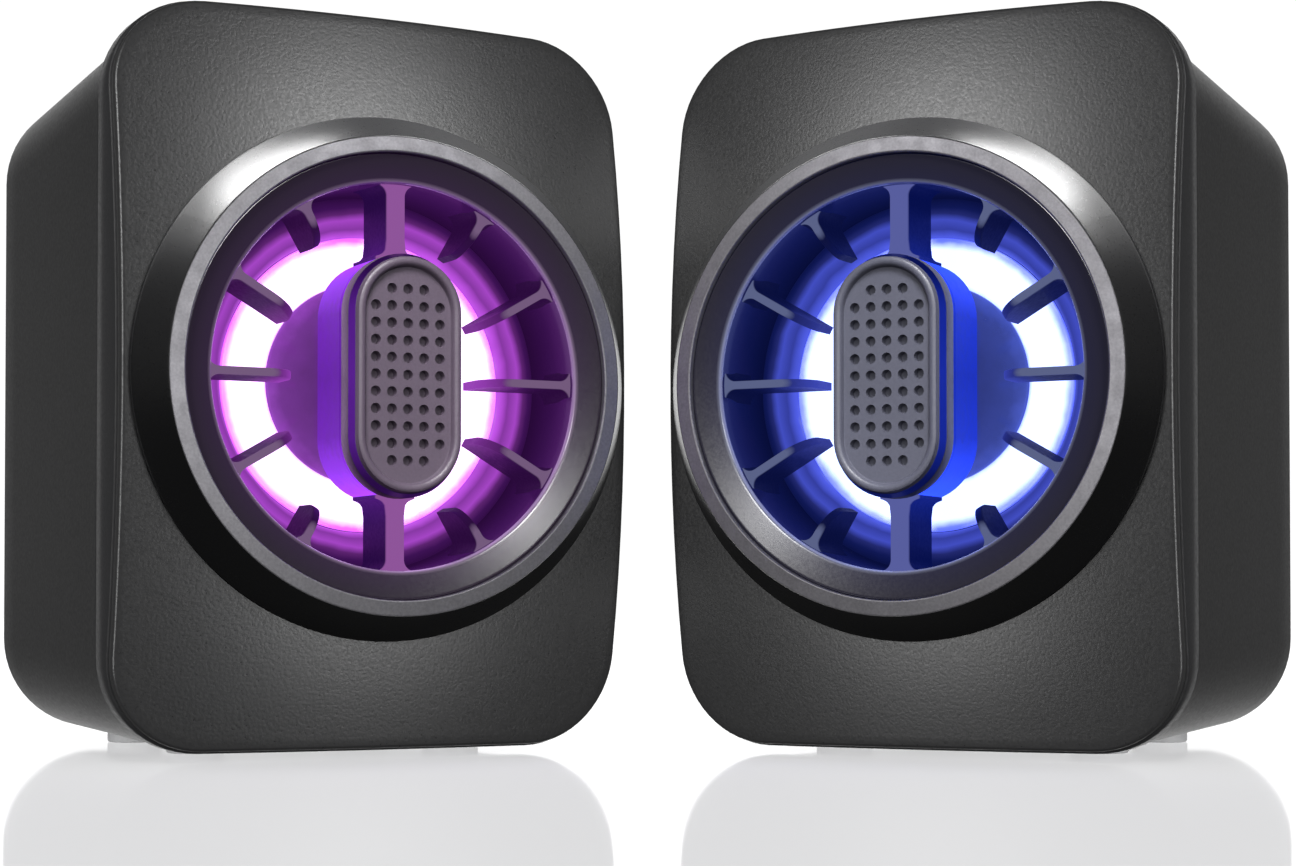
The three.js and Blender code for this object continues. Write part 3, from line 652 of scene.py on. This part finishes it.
for side in SIDES:
    wall = PAINTED_LIGHT[side]["wall"]
    lit = Finish(f"{side}_lit_stem")
    mottle = lit.noise(1.2, 3)
    # Painted light: glow in the lamps' colour, strongest towards the stem's ends, and a tinted
    # base.
    level = wavering(lit, mottle, 2.0, height_off(lit, side))
    shade = lit.ramp(lit.spread(level, 0, 1, 1, 17), [
        (0, tint(wall, 0.85)), (0.5, tint(wall, 1.1)), (0.8, tint(wall, 2.4)),
        (1, tint(wall, 4.2))])
    lit.feed("Base Color", lit.ramp(mottle, [(0.3, tint(wall, 0.3)), (0.7, tint(wall, 0.5))]))
    lit.feed("Emission Color", shade)
    lit.feed("Roughness", lit.spread(mottle, 0.3, 0.42))
    lit.hold(Emission_Strength=0.62, Specular_IOR_Level=0.2)
    lit.relief(mottle, 0.25, 0.02)
    levels = [(STEM_WALL, STEM_FLOOR), (STEM_WALL, GRILLE_BACK), (0.15, GRILLE_BACK),
              (0, GRILLE_BACK + 0.2),
              (0, 11.9), (0.3, GRILLE_FRONT)]
    rows = [ring(slot_outline(STEM_X - inset, STEM_Z - inset), -depth) for inset, depth in levels]
    front = slot_outline(STEM_X - 0.3, STEM_Z - 0.3)
    rows += [ring(front * 0.5, -GRILLE_FRONT), ring(front * 0, -GRILLE_FRONT)]
    inside = slot_outline(STEM_X - STEM_WALL, STEM_Z - STEM_WALL)
    rows = [ring(inside * share, -STEM_FLOOR) for share in (0, 0.5)] + rows
    stem = solid(f"{side}_stem", side, [skin(np.array(rows), False)])
    stem.data.materials.append(lit.material)
    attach(stem, f"{side}_cabinet")

# ---- Centre caps ----
# A stepped cap in mid-grey matt ABS clips onto the stem, its grey carrying a painted tint of
# its own lamps' colour. A raised lip runs round a sunken plate with rows of small round dimples,
# and a clear line below the lip passes the light, given as painted emission fading towards its
# ends.

CAP_BACK = 12.5
HOLE_PITCH = 2.25
HOLE_RADIUS = 0.7
HOLE_DEPTH = 1.2
PLATE = 16.4                    # front of the sunken plate
HOLE_ROWS = (3, 5, 5, 5, 5, 5, 5, 5, 5, 5, 3)

for side in SIDES:
    # Painted tint: the cap's grey is tinted with its own lamps' colour.
    lamp_tinted_pill_plastic = moulded(f"{side}_lamp_tinted_pill_plastic", PAINTED_LIGHT[side]["pill"], 0.45, 0.03, (0.38, 0.5))
    levels = [(0.2, CAP_BACK), (0, 12.7), (0, 14.9), (0.08, 15.1), (0.5, 16.4), (0.6, 16.55),
              (0.62, 17.0), (0.72, 17.25), (0.9, 17.38), (1.15, 17.42), (1.42, 17.38),
              (1.64, 17.25), (1.8, 17.0), (1.86, PLATE + 0.1), (1.95, PLATE)]
    rows = [ring(slot_outline(STEM_X, STEM_Z) * share, -CAP_BACK) for share in (0, 0.5)]
    rows += [ring(slot_outline(STEM_X - inset, STEM_Z - inset), -depth) for inset, depth in levels]
    rows += [ring(slot_outline(5.9, 14.1) * share, -PLATE) for share in (0.5, 0)]
    cap = solid(f"{side}_pill", side, [skin(np.array(rows), False)])
    floor = HOLE_DEPTH - PLATE
    profile = [(0, floor), (HOLE_RADIUS * 0.9, floor), (HOLE_RADIUS, floor - 0.15),
               (HOLE_RADIUS, -PLATE - 0.5), (0, -PLATE - 0.5)]
    holes = [turned(profile, 20, False, (column - (count - 1) / 2) * HOLE_PITCH,
                    MIDDLE + (5 - row) * HOLE_PITCH)
             for row, count in enumerate(HOLE_ROWS) for column in range(count)]
    carved(cap, side, holes)
    cap.data.materials.append(lamp_tinted_pill_plastic)
    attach(cap, f"{side}_cabinet")
    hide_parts(f"{side}_pill_cap")

    # Painted light: the line glows in the lamps' colour, fading towards its rounded ends, over a
    # base colour tinted the same way.
    line = Finish(f"{side}_light_line")
    streak = line.noise(1.5, 2)
    wall = PAINTED_LIGHT[side]["wall"]
    level = wavering(line, streak, 1.5, height_off(line, side))
    shade = line.ramp(line.spread(level, 0, 1, 0, 17),
                      [(0, tint(wall, 0.45)), (0.55, tint(wall, 0.38)), (0.85, tint(wall, 0.08))])
    line.feed("Emission Color", shade)
    line.feed("Base Color", line.ramp(streak, [(0.3, tint(wall, 0.2)), (0.7, tint(wall, 0.3))]))
    line.feed("Roughness", line.spread(streak, 0.3, 0.4))
    line.hold(Emission_Strength=0.9)
    levels = [(0.4, 15.2), (0.08, 15.14), (0.03, 15.2), (0.43, 16.42), (0.5, 16.46), (0.8, 16.3)]
    rows = [ring(slot_outline(STEM_X - inset, STEM_Z - inset), -depth) for inset, depth in levels]
    strip = solid(f"{side}_light_strip", side, [skin(np.array(rows))])
    strip.data.materials.append(line.material)
    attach(strip, f"{side}_cabinet")

# ---- Cones ----
# Each driver has a translucent film cone that the lamps behind it light up. It is white-hot in
# the middle of its face, and takes the colour of the lamps at its inner and outer edges.

SOUND_SIDES = 128
CORE_STRENGTH = 2.3


def spoken_for(piece, side, body, node):
    """Puts a piece on its body, in place of one node of the frame."""
    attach(piece, f"{side}_{body}")
    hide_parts(f"{side}_{node}")


for side in SIDES:
    core, mid = PAINTED_LIGHT[side]["core"], PAINTED_LIGHT[side]["mid"]
    film = Finish(f"{side}_cone_film")
    ripple = film.noise(1.6, 3)
    reach = wavering(film, ripple, 0.6, axis_distance(film, side))
    shade = film.ramp(film.spread(reach, 0, 1, 12, 21), [
        (0, tint(mid, 0.3)), (0.15, tint(mid, 0.8)), (0.27, core), (0.76, core),
        (0.88, tint(mid, 0.8)), (1, tint(mid, 0.3))])
    film.feed("Emission Color", shade)
    film.feed("Base Color", film.ramp(ripple, [(0.3, tint(core, 0.5)), (0.7, tint(core, 0.7))]))
    film.feed("Roughness", film.spread(ripple, 0.3, 0.45))
    film.hold(Emission_Strength=CORE_STRENGTH)
    film.relief(ripple, 0.3, 0.05)
    profile = [(7.6, 4.4), (10.5, 2.6), (13.4, 1.2), (20.1, 0.3), (20.1, 0.9), (13.4, 1.8),
               (10.5, 3.2), (7.6, 4.9)]
    cone = solid(f"{side}_cone_film", side, [turned(eased_profile(profile, 0.6), SOUND_SIDES)])
    cone.data.materials.append(film.material)
    spoken_for(cone, side, "cone", "cone")

# ---- Dust caps ----
# A smoked, glossy film dome is glued over the middle of each cone. The light comes through it
# faintly, more so near its rim, where a small bead runs round.

DOME_RADIUS = 13.4
DOME_RISE = 3.6
DOME_TOP = 2.75                 # how far the dome's middle stands forward

for side in SIDES:
    glow = PAINTED_LIGHT[side]["cap"]
    smoke = Finish(f"{side}_smoked_cap")
    cloud = smoke.noise(3, 3)
    reach = wavering(smoke, cloud, 2.5, axis_distance(smoke, side))
    shade = smoke.ramp(smoke.spread(reach, 0, 1, 1, 15), [
        (0, tint(glow, 0.55)), (0.6, tint(glow, 0.7)), (0.85, glow), (1, tint(glow, 1.8))])
    smoke.feed("Emission Color", shade)
    # Painted tint: the film's base colour is tinted with its own lamps' colour.
    smoke.feed("Base Color", smoke.ramp(cloud, [(0.3, tint(glow, 0.12)), (0.7, tint(glow, 0.25))]))
    smoke.feed("Roughness", smoke.spread(smoke.noise(0.8), 0.12, 0.22))
    smoke.hold(Emission_Strength=0.8, Coat_Weight=0.6, Coat_Roughness=0.06)
    smoke.relief(cloud, 0.15, 0.1)
    sphere = (DOME_RADIUS**2 + DOME_RISE**2) / (2 * DOME_RISE)
    bend = np.linspace(0, math.asin(13.3 / sphere), 24)
    outer = np.stack([sphere * np.sin(bend), sphere - DOME_TOP - sphere * np.cos(bend)], axis=-1)
    bead = [(13.45, 0.66), (13.62, 0.55), (13.72, 0.68), (13.6, 0.86)]
    inner = (outer * (0.97, 1) + (0, 0.5))[::-1]
    inner[0] = (12.8, 0.86)
    profile = np.concatenate([outer, bead, inner])
    cap = solid(f"{side}_dust_dome", side, [turned(profile, SOUND_SIDES, False)])
    cap.data.materials.append(smoke.material)
    spoken_for(cap, side, "cone", "dust_cap")

# ---- Surrounds ----
# A half-round roll of soft butyl rubber joins the cone to the basket. Its satin skin takes up
# the colour of the light beside it. In the speaker it flexes as the cone moves; here it is fixed
# in place.

ROLL_MIDDLE = 22.85             # radius of the middle of the roll
ROLL_OUTSIDE, ROLL_INSIDE = 2.6, 2.15
ROLL_DEPTH = 0.6


for side in SIDES:
    core, mid, deep = (PAINTED_LIGHT[side][key] for key in ("core", "mid", "deep"))
    rubber = Finish(f"{side}_roll_rubber")
    skin_noise = rubber.noise(0.6, 3)
    broad = rubber.noise(5, 2)
    reach = wavering(rubber, broad, 0.8, axis_distance(rubber, side))
    # Painted light: glow near-white by the cone, a painted highlight along the crest of the roll,
    # then dark towards the basket.
    shade = rubber.ramp(rubber.spread(reach, 0, 1, 20, 26), [
        (0, tint(core, 0.75)), (0.1, tint(mid, 0.9)), (0.25, tint(mid, 0.38)),
        (0.45, tint(mid, 0.60)), (0.6, tint(mid, 0.17)), (0.75, deep), (1, tint(deep, 0.5))])
    rubber.feed("Emission Color", shade)
    # Painted tint of the lamps' colour in the base colour.
    rubber.feed("Base Color", rubber.ramp(skin_noise, [
        (0.3, tint(mid, 0.015)), (0.7, tint(mid, 0.03))]))
    rubber.feed("Roughness", rubber.spread(skin_noise, 0.45, 0.6))
    rubber.hold(Emission_Strength=1.0, Specular_IOR_Level=0.25)
    rubber.relief(skin_noise, 0.3, 0.03)
    bend = np.linspace(0, math.pi, 22)
    crest, under = (np.stack([ROLL_MIDDLE - size * np.cos(bend), ROLL_DEPTH - size * np.sin(bend)],
                             axis=-1) for size in (ROLL_OUTSIDE, ROLL_INSIDE))
    legs = [(25.45, 1.4), (25.45, 2.2), (25.5, 2.8), (25.7, 2.9), (27.3, 2.9), (27.3, 3.4),
            (25.2, 3.4), (25.0, 2.9), (25.0, 1.6)]
    profile = np.concatenate([crest, legs, under[::-1], [(20.15, 1.0)]])
    roll = solid(f"{side}_roll", side, [turned(profile, SOUND_SIDES)])
    roll.data.materials.append(rubber.material)
    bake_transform(roll)
    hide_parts(f"{side}_surround")

# ---- Spiders ----
# Behind each cone a disc of resin-stiffened cloth, pressed into rings, centres the voice coil.
# In the speaker it gives with the coil; here it is fixed in place.

SPIDER_INNER, SPIDER_OUTER = 8.8, 19.4
SPIDER_FLAT = 18.6              # radius past which the cloth has no rings

cloth = Finish("spider_cloth")
warp = cloth.add("ShaderNodeTexWave", {"Vector": cloth.place, "Scale": 400.0, "Distortion": 0.6},
                 bands_direction="Z").outputs["Fac"]
weft = cloth.add("ShaderNodeTexWave", {"Vector": cloth.place, "Scale": 400.0, "Distortion": 0.6},
                 bands_direction="X").outputs["Fac"]
weave = cloth.add("ShaderNodeMath", {0: warp, 1: weft}, operation="MAXIMUM").outputs[0]
cloth.feed("Base Color", cloth.ramp(weave, [(0.2, (0.20, 0.11, 0.03)), (0.9, (0.48, 0.30, 0.11))]))
cloth.feed("Roughness", cloth.spread(weave, 0.75, 0.9))
cloth.relief(weave, 0.5, 0.08)

for side in SIDES:
    radius = np.linspace(SPIDER_INNER, SPIDER_OUTER, 40)
    lift = 8.7 + 1.25 * np.clip((radius - 9.5) / 8.5, 0, 1)
    fade = np.clip(np.minimum(radius - SPIDER_INNER, SPIDER_FLAT - radius), 0, 1)
    wave = 0.45 * np.sin((radius - SPIDER_INNER) * 2.2) * fade
    face = np.stack([radius, lift + wave], axis=-1)
    profile = np.concatenate([face, (face + (0, 0.4))[::-1]])
    disc = solid(f"{side}_spider", side, [turned(profile, 64)])
    disc.data.materials.append(cloth.material)
    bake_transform(disc)
    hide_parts(f"{side}_spider")

# ---- Baskets, motors and boards ----
# Inside are the pressed steel basket, the plated motor plates, a fired ferrite ring, a copper
# coil, the lamp boards and the amplifier board with its pot and switch.

plated = Finish("plated_steel")
grainy = plated.noise(0.8, 3)
plated.hold(Metallic=1.0)
plated.feed("Base Color", plated.ramp(grainy, [
    (0.3, (0.36, 0.36, 0.37)), (0.7, (0.50, 0.50, 0.51))]))
plated.feed("Roughness", plated.spread(grainy, 0.3, 0.45))
plated.relief(grainy, 0.2, 0.02)
fired = moulded("fired_ferrite", (0.045, 0.045, 0.05), 0.5, 0.05, (0.6, 0.8), 0.3)
mask = moulded("solder_mask", (0.02, 0.10, 0.045), 1.2, 0.03, (0.3, 0.45), 0.3)
wound = Finish("wound_copper")
turns = wound.add("ShaderNodeTexWave", {"Vector": wound.place, "Scale": 700.0}).outputs["Fac"]
wound.hold(Metallic=0.9)
wound.feed("Base Color", wound.ramp(turns, [(0.1, (0.30, 0.11, 0.04)), (0.8, (0.66, 0.30, 0.13))]))
wound.feed("Roughness", wound.spread(turns, 0.28, 0.42))
wound.relief(turns, 0.4, 0.05)
INSIDE = {"basket": plated, "top_plate": plated, "yoke": plated, "magnet": fired,
          "lamp_board": mask, "voice_coil": wound, "amplifier_board": mask,
          "volume_pot": plated, "volume_shaft": plated, "light_switch": shell_plastic}
for name, node in frame["nodes"].items():
    look = INSIDE.get(name.replace("left_", "").replace("right_", ""))
    if look:
        node.data.materials.clear()
        node.data.materials.append(getattr(look, "material", look))

# ---- Feet ----
# Four frosted clear silicone bumpers sit in pockets under each cabinet and stand it just off the
# desk.

foot_rubber = moulded("foot_rubber", (0.55, 0.55, 0.56), 0.5, 0.02, (0.4, 0.55), 0.08)

levels = [(0, 0), (3.6, 0), (3.85, 0.06), (4, 0.3), (4, 2.25), (3.85, 2.4), (0, 2.4)]
for side in SIDES:
    for number, (x, y) in enumerate(FEET, 1):
        foot = solid(f"{side}_pad_{number}", side, [upright(levels, 48, x, y)])
        foot.data.materials.append(foot_rubber)
        spoken_for(foot, side, "cabinet", f"foot_{number}")

# ---- Case screws ----
# Blackened cross-head screws sit in counterbores at the corners of each back panel.

blackened = Finish("blackened_steel")
worn = blackened.noise(0.7, 3)
blackened.hold(Metallic=0.8)
shade = blackened.ramp(worn, [(0.35, (0.03, 0.03, 0.032)), (0.7, (0.10, 0.10, 0.105))])
blackened.feed("Base Color", shade)
blackened.feed("Roughness", blackened.spread(worn, 0.3, 0.5))
blackened.relief(worn, 0.25, 0.02)

for side in SIDES:
    for number, (x, z) in enumerate(SCREWS, 1):
        profile = [(0, 46.5), (1.4, 46.5), (1.4, 60.1), (2.8, 60.1), (2.8, 60.6), (2.5, 60.85),
                   (1.8, 60.98), (0, 61)]
        screw = solid(f"{side}_screw_{number}", side, [turned(profile, 40, False, x, z)])
        cross = np.array([[(-1.6, -0.3), (1.6, -0.3), (1.6, 0.3), (-1.6, 0.3)],
                          [(-0.3, -1.6), (0.3, -1.6), (0.3, 1.6), (-0.3, 1.6)]])
        for shape in cross:
            sections = [(shape * 0, 60.35), (shape * 0.8, 60.35), (shape, 61.5), (shape * 0, 61.5)]
            carved(screw, side, [slab(sections, x, z)])
        screw.data.materials.append(blackened.material)
        spoken_for(screw, side, "cabinet", f"case_screw_{number}")

# ---- Cable glands ----
# A soft moulded grommet snaps into each back panel where the lead leaves.

gland_rubber = moulded("gland_rubber", (0.018, 0.018, 0.019), 0.4, 0.03, (0.6, 0.75), 0.2)

for side in SIDES:
    bore = 2.0 if side == "right" else 1.5
    profile = [(bore, 57.3), (4.8, 57.3), (4.8, 58.5), (3.2, 58.5), (3.2, 61.5), (4.8, 61.5),
               (4.8, 62.5), (3.9, 63.0), (3.9, 63.4), (4.2, 63.6), (4.2, 64.0), (3.4, 64.8),
               (bore, 64.8)]
    gland = solid(f"{side}_gland", side, [turned(eased_profile(profile, 0.25), 64, True, *GLAND)])
    gland.data.materials.append(gland_rubber)
    spoken_for(gland, side, "cabinet", "cable_gland")

# ---- Volume knob ----
# A fluted thumb knob in satin black ABS pushes onto the shaft on the back of the right-hand
# speaker. A short groove in its face is the pointer.

FLUTES = 24
FLUTE_DEPTH = 0.5

knob_plastic = moulded("knob_plastic", (0.016, 0.016, 0.017), 0.4, 0.015, (0.34, 0.45), 0.15)
# Radius, depth and share of the fluting.
levels = np.array([(0, 71.2, 0), (7.2, 71.2, 0), (8.0, 71.05, 0.2), (8.55, 70.6, 0.7),
                   (8.75, 70.0, 1), (9.0, 63.2, 1), (8.8, 62.5, 0.8), (8.3, 62.2, 0.2),
                   (3.3, 62.2, 0), (3.3, 68.5, 0), (0, 68.5, 0)])
angle = np.linspace(0, 2 * math.pi, 288, endpoint=False)
flute = FLUTE_DEPTH * (0.5 - 0.5 * np.cos(FLUTES * angle))**2
radius = levels[:, :1] - levels[:, 2:] * flute
grid = np.stack([KNOB[0] + radius * np.cos(angle), np.repeat(levels[:, 1:2], 288, axis=1),
                 KNOB[1] + radius * np.sin(angle)], axis=-1)
knob = solid("volume_dial", "right", [skin(grid, False)])
ends = np.array([(-0.5, 2.2), (0.5, 2.2), (0.5, 10), (-0.5, 10)])
centre = ends * 0 + (0, 5)
sections = [(centre, 70.6), (ends, 70.6), (ends, 72), (centre, 72)]
carved(knob, "right", [slab(sections, *KNOB)])
knob.data.materials.append(knob_plastic)
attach(knob, "volume_control")
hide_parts("volume_knob")

# ---- Light button ----
# A small gloss black push button with a dished face switches the lamps.

button_gloss = moulded("button_gloss", (0.012, 0.012, 0.013), 0.9, 0.004, (0.12, 0.2), 0.1)
profile = [(0, 53.2), (1.5, 53.2), (1.5, 56.7), (3.4, 56.7), (3.4, 62.6), (3.2, 62.92), (2.9, 63.0),
           (2.0, 62.86), (1.0, 62.78), (0, 62.75)]
button = solid("light_push", "right", [turned(profile, 64, False, *BUTTON)])
button.data.materials.append(button_gloss)
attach(button, "light_button")
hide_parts("light_button")

# ---- Table, light and camera ----
# The pair stands on a pale, slightly polished table before a white backdrop. Most soft boxes
# light one kind of piece, the "rest" boxes light what is left, and two suns the table alone.

TABLE_REACH = 6.0               # metres from the middle of the pair to the table's edge
TABLE_GLOSS = 0.36
SUN_SPREAD = math.radians(40)

top = bpy.data.meshes.new("table_top")
corners = [(-1, -1), (1, -1), (1, 1), (-1, 1)]
top.from_pydata([(TABLE_REACH * x, TABLE_REACH * y, 0) for x, y in corners], [], [(0, 1, 2, 3)])
table = bpy.data.objects.new("table_top", top)
bpy.context.scene.collection.objects.link(table)
pale = bpy.data.materials.new("pale_table")
pale.use_nodes = True
pale_nodes, pale_links = pale.node_tree.nodes, pale.node_tree.links
pale_nodes.clear()
matt = pale_nodes.new("ShaderNodeBsdfDiffuse")
matt.inputs["Color"].default_value = (0.86, 0.86, 0.87, 1)
polish = pale_nodes.new("ShaderNodeBsdfGlossy")
polish.inputs["Roughness"].default_value = 0.06
mixed = pale_nodes.new("ShaderNodeMixShader")
mixed.inputs[0].default_value = TABLE_GLOSS
out = pale_nodes.new("ShaderNodeOutputMaterial")
pale_links.new(matt.outputs[0], mixed.inputs[1])
pale_links.new(polish.outputs[0], mixed.inputs[2])
pale_links.new(mixed.outputs[0], out.inputs[0])
top.materials.append(pale)

room = bpy.data.worlds.new("studio")
room.use_nodes = True
bpy.context.scene.world = room
air, wires = room.node_tree.nodes, room.node_tree.links
backdrop = air["Background"]
backdrop.inputs["Color"].default_value = (1, 1, 1, 1)
# The camera sees the backdrop white. To all other rays it is bright only straight behind the pair.
heading = air.new("ShaderNodeTexCoord")
facing = air.new("ShaderNodeVectorMath")
facing.operation = "DOT_PRODUCT"
facing.inputs[1].default_value = (0, 0.998, 0.06)
wires.new(heading.outputs["Generated"], facing.inputs[0])
behind = air.new("ShaderNodeMapRange")
behind.interpolation_type = "SMOOTHSTEP"
wires.new(facing.outputs["Value"], behind.inputs["Value"])
for key, value in {"From Min": 0.78, "From Max": 0.94, "To Min": 0.08, "To Max": 1.7}.items():
    behind.inputs[key].default_value = value
seen = air.new("ShaderNodeLightPath")
pick = air.new("ShaderNodeMix")
wires.new(seen.outputs["Is Camera Ray"], pick.inputs["Factor"])
wires.new(behind.outputs["Result"], pick.inputs[2])
pick.inputs[3].default_value = 1.05
wires.new(pick.outputs[0], backdrop.inputs["Strength"])


def softbox(name, place, aim, size, power):
    """A rectangular lamp that faces the point it is aimed at."""
    lamp = bpy.data.lights.new(name, "AREA")
    lamp.shape = "RECTANGLE"
    lamp.size, lamp.size_y = size
    lamp.energy = power
    light = bpy.data.objects.new(name, lamp)
    bpy.context.scene.collection.objects.link(light)
    light.location = place
    away = np.array(place, float) - np.array(aim, float)
    light.rotation_euler = Vector(away).to_track_quat("Z", "Y").to_euler()
    return light


def linked(name, pieces):
    """A collection of pieces that a lamp is told to light, to pass over or to be blocked by."""
    group = bpy.data.collections.new(name)
    for piece in pieces:
        group.objects.link(piece)
    return group


def chosen(*endings):
    """The pieces whose names end in one of these ways."""
    return [piece for piece in bpy.context.scene.objects if piece.name.endswith(endings)]


passed_over = linked("not_reached_by_boxes", [table] + chosen(
    "_fins", "_bars", "_stem", "_roll", "_light_strip", "_trim", "_silver", "_band", "_shell",
    "_pill"))
for member in passed_over.collection_objects:
    member.light_linking.link_state = "EXCLUDE"
reach_of = {name: linked(f"lit_{name}", chosen(f"_{name}"))
            for name in ("trim", "silver", "band", "shell", "pill")}
reach_of["rest"] = passed_over
BACK = ["shell", "gland"] + [f"screw_{number}" for number in range(1, 5)]
BOXES = [                       # reach, place from a cabinet's middle, width and height, watts
    ("rest", (0.610, -0.590, 0.10), (0.27, 1.0), 6.4),
    ("rest", (0.56, -0.54, 0.38), (0.3, 0.3), 1.5),
    ("trim", (-0.33, 0.18, 0.705), (0.42, 0.42), 19.0),
    ("trim", (0.62, -0.50, 0.20), (0.3, 0.5), 1.0),
    ("silver", (0.57, -0.51, 0.40), (0.22, 0.25), 0.8),
    ("silver", (0.38, -0.68, 0.08), (0.3, 0.3), 0.65),
    ("band", (0.38, -0.64, 0.31), (0.15, 0.15), 2.6),
    ("pill", (0.05, -0.55, 0.55), (0.3, 0.3), 5.5),
    ("pill", (-0.15, -0.68, 0.15), (0.3, 0.3), 1.5),
    ("shell", (-0.45, -0.10, 0.42), (0.3, 0.3), 0.9),
    ("shell", (0.45, -0.60, 0.30), (0.4, 0.4), 0.6),
    ("back", (0.40, 0.65, 0.40), (0.8, 0.8), 7.0)]
# The table casts no shadow, so a lamp that only the table can block casts none at all.
table_blocks = linked("only_the_table_blocks", [table])
for side, sign in SIDES.items():
    controls = ["_dial", "_push"] if side == "right" else []
    endings = [f"{side}_{name}" for name in BACK] + controls
    reach_of["back"] = linked(f"lit_{side}_back", chosen(*endings))
    for number, (reach_name, place, size, power) in enumerate(BOXES):
        spot = (sign * SPREAD / 1000 - sign * place[0], place[1], place[2] + MIDDLE / 1000)
        aim = (sign * SPREAD / 1000, 0, MIDDLE / 1000)
        box = softbox(f"{side}_box_{number}", spot, aim, size, power)
        box.light_linking.receiver_collection = reach_of[reach_name]
        if reach_name == "trim":
            box.light_linking.blocker_collection = table_blocks
for side in SIDES:
    near = [bpy.data.objects[f"{side}_{name}"] for name in (
        "dust_dome", "pill", "silver", "band", "cone_film")]
    film = bpy.data.objects[f"{side}_cone_film"]
    film.light_linking.receiver_collection = linked(f"lit_by_{side}_cone", near)
only_table = linked("lit_from_above", [table])
for name, strength in (("above", 3.05), ("above_with_shadow", 0.75)):
    above = bpy.data.lights.new(name, "SUN")
    above.energy = strength
    above.angle = SUN_SPREAD
    overhead = bpy.data.objects.new(name, above)
    bpy.context.scene.collection.objects.link(overhead)
    overhead.light_linking.receiver_collection = only_table
    if name == "above":
        overhead.light_linking.blocker_collection = table_blocks
table.visible_glossy = False
table.visible_diffuse = False
table.visible_shadow = False

bpy.context.scene.view_settings.view_transform = "Standard"
lens = bpy.data.cameras.new("camera")
lens.lens = 70.3
lens.sensor_width = 36
lens.shift_x = 0.0005
lens.shift_y = 0.0955
camera = bpy.data.objects.new("camera", lens)
bpy.context.scene.collection.objects.link(camera)
camera.location = (0, -0.3661, 0.0194)
camera.rotation_euler = (math.radians(91.24), 0, 0)
bpy.context.scene.camera = camera
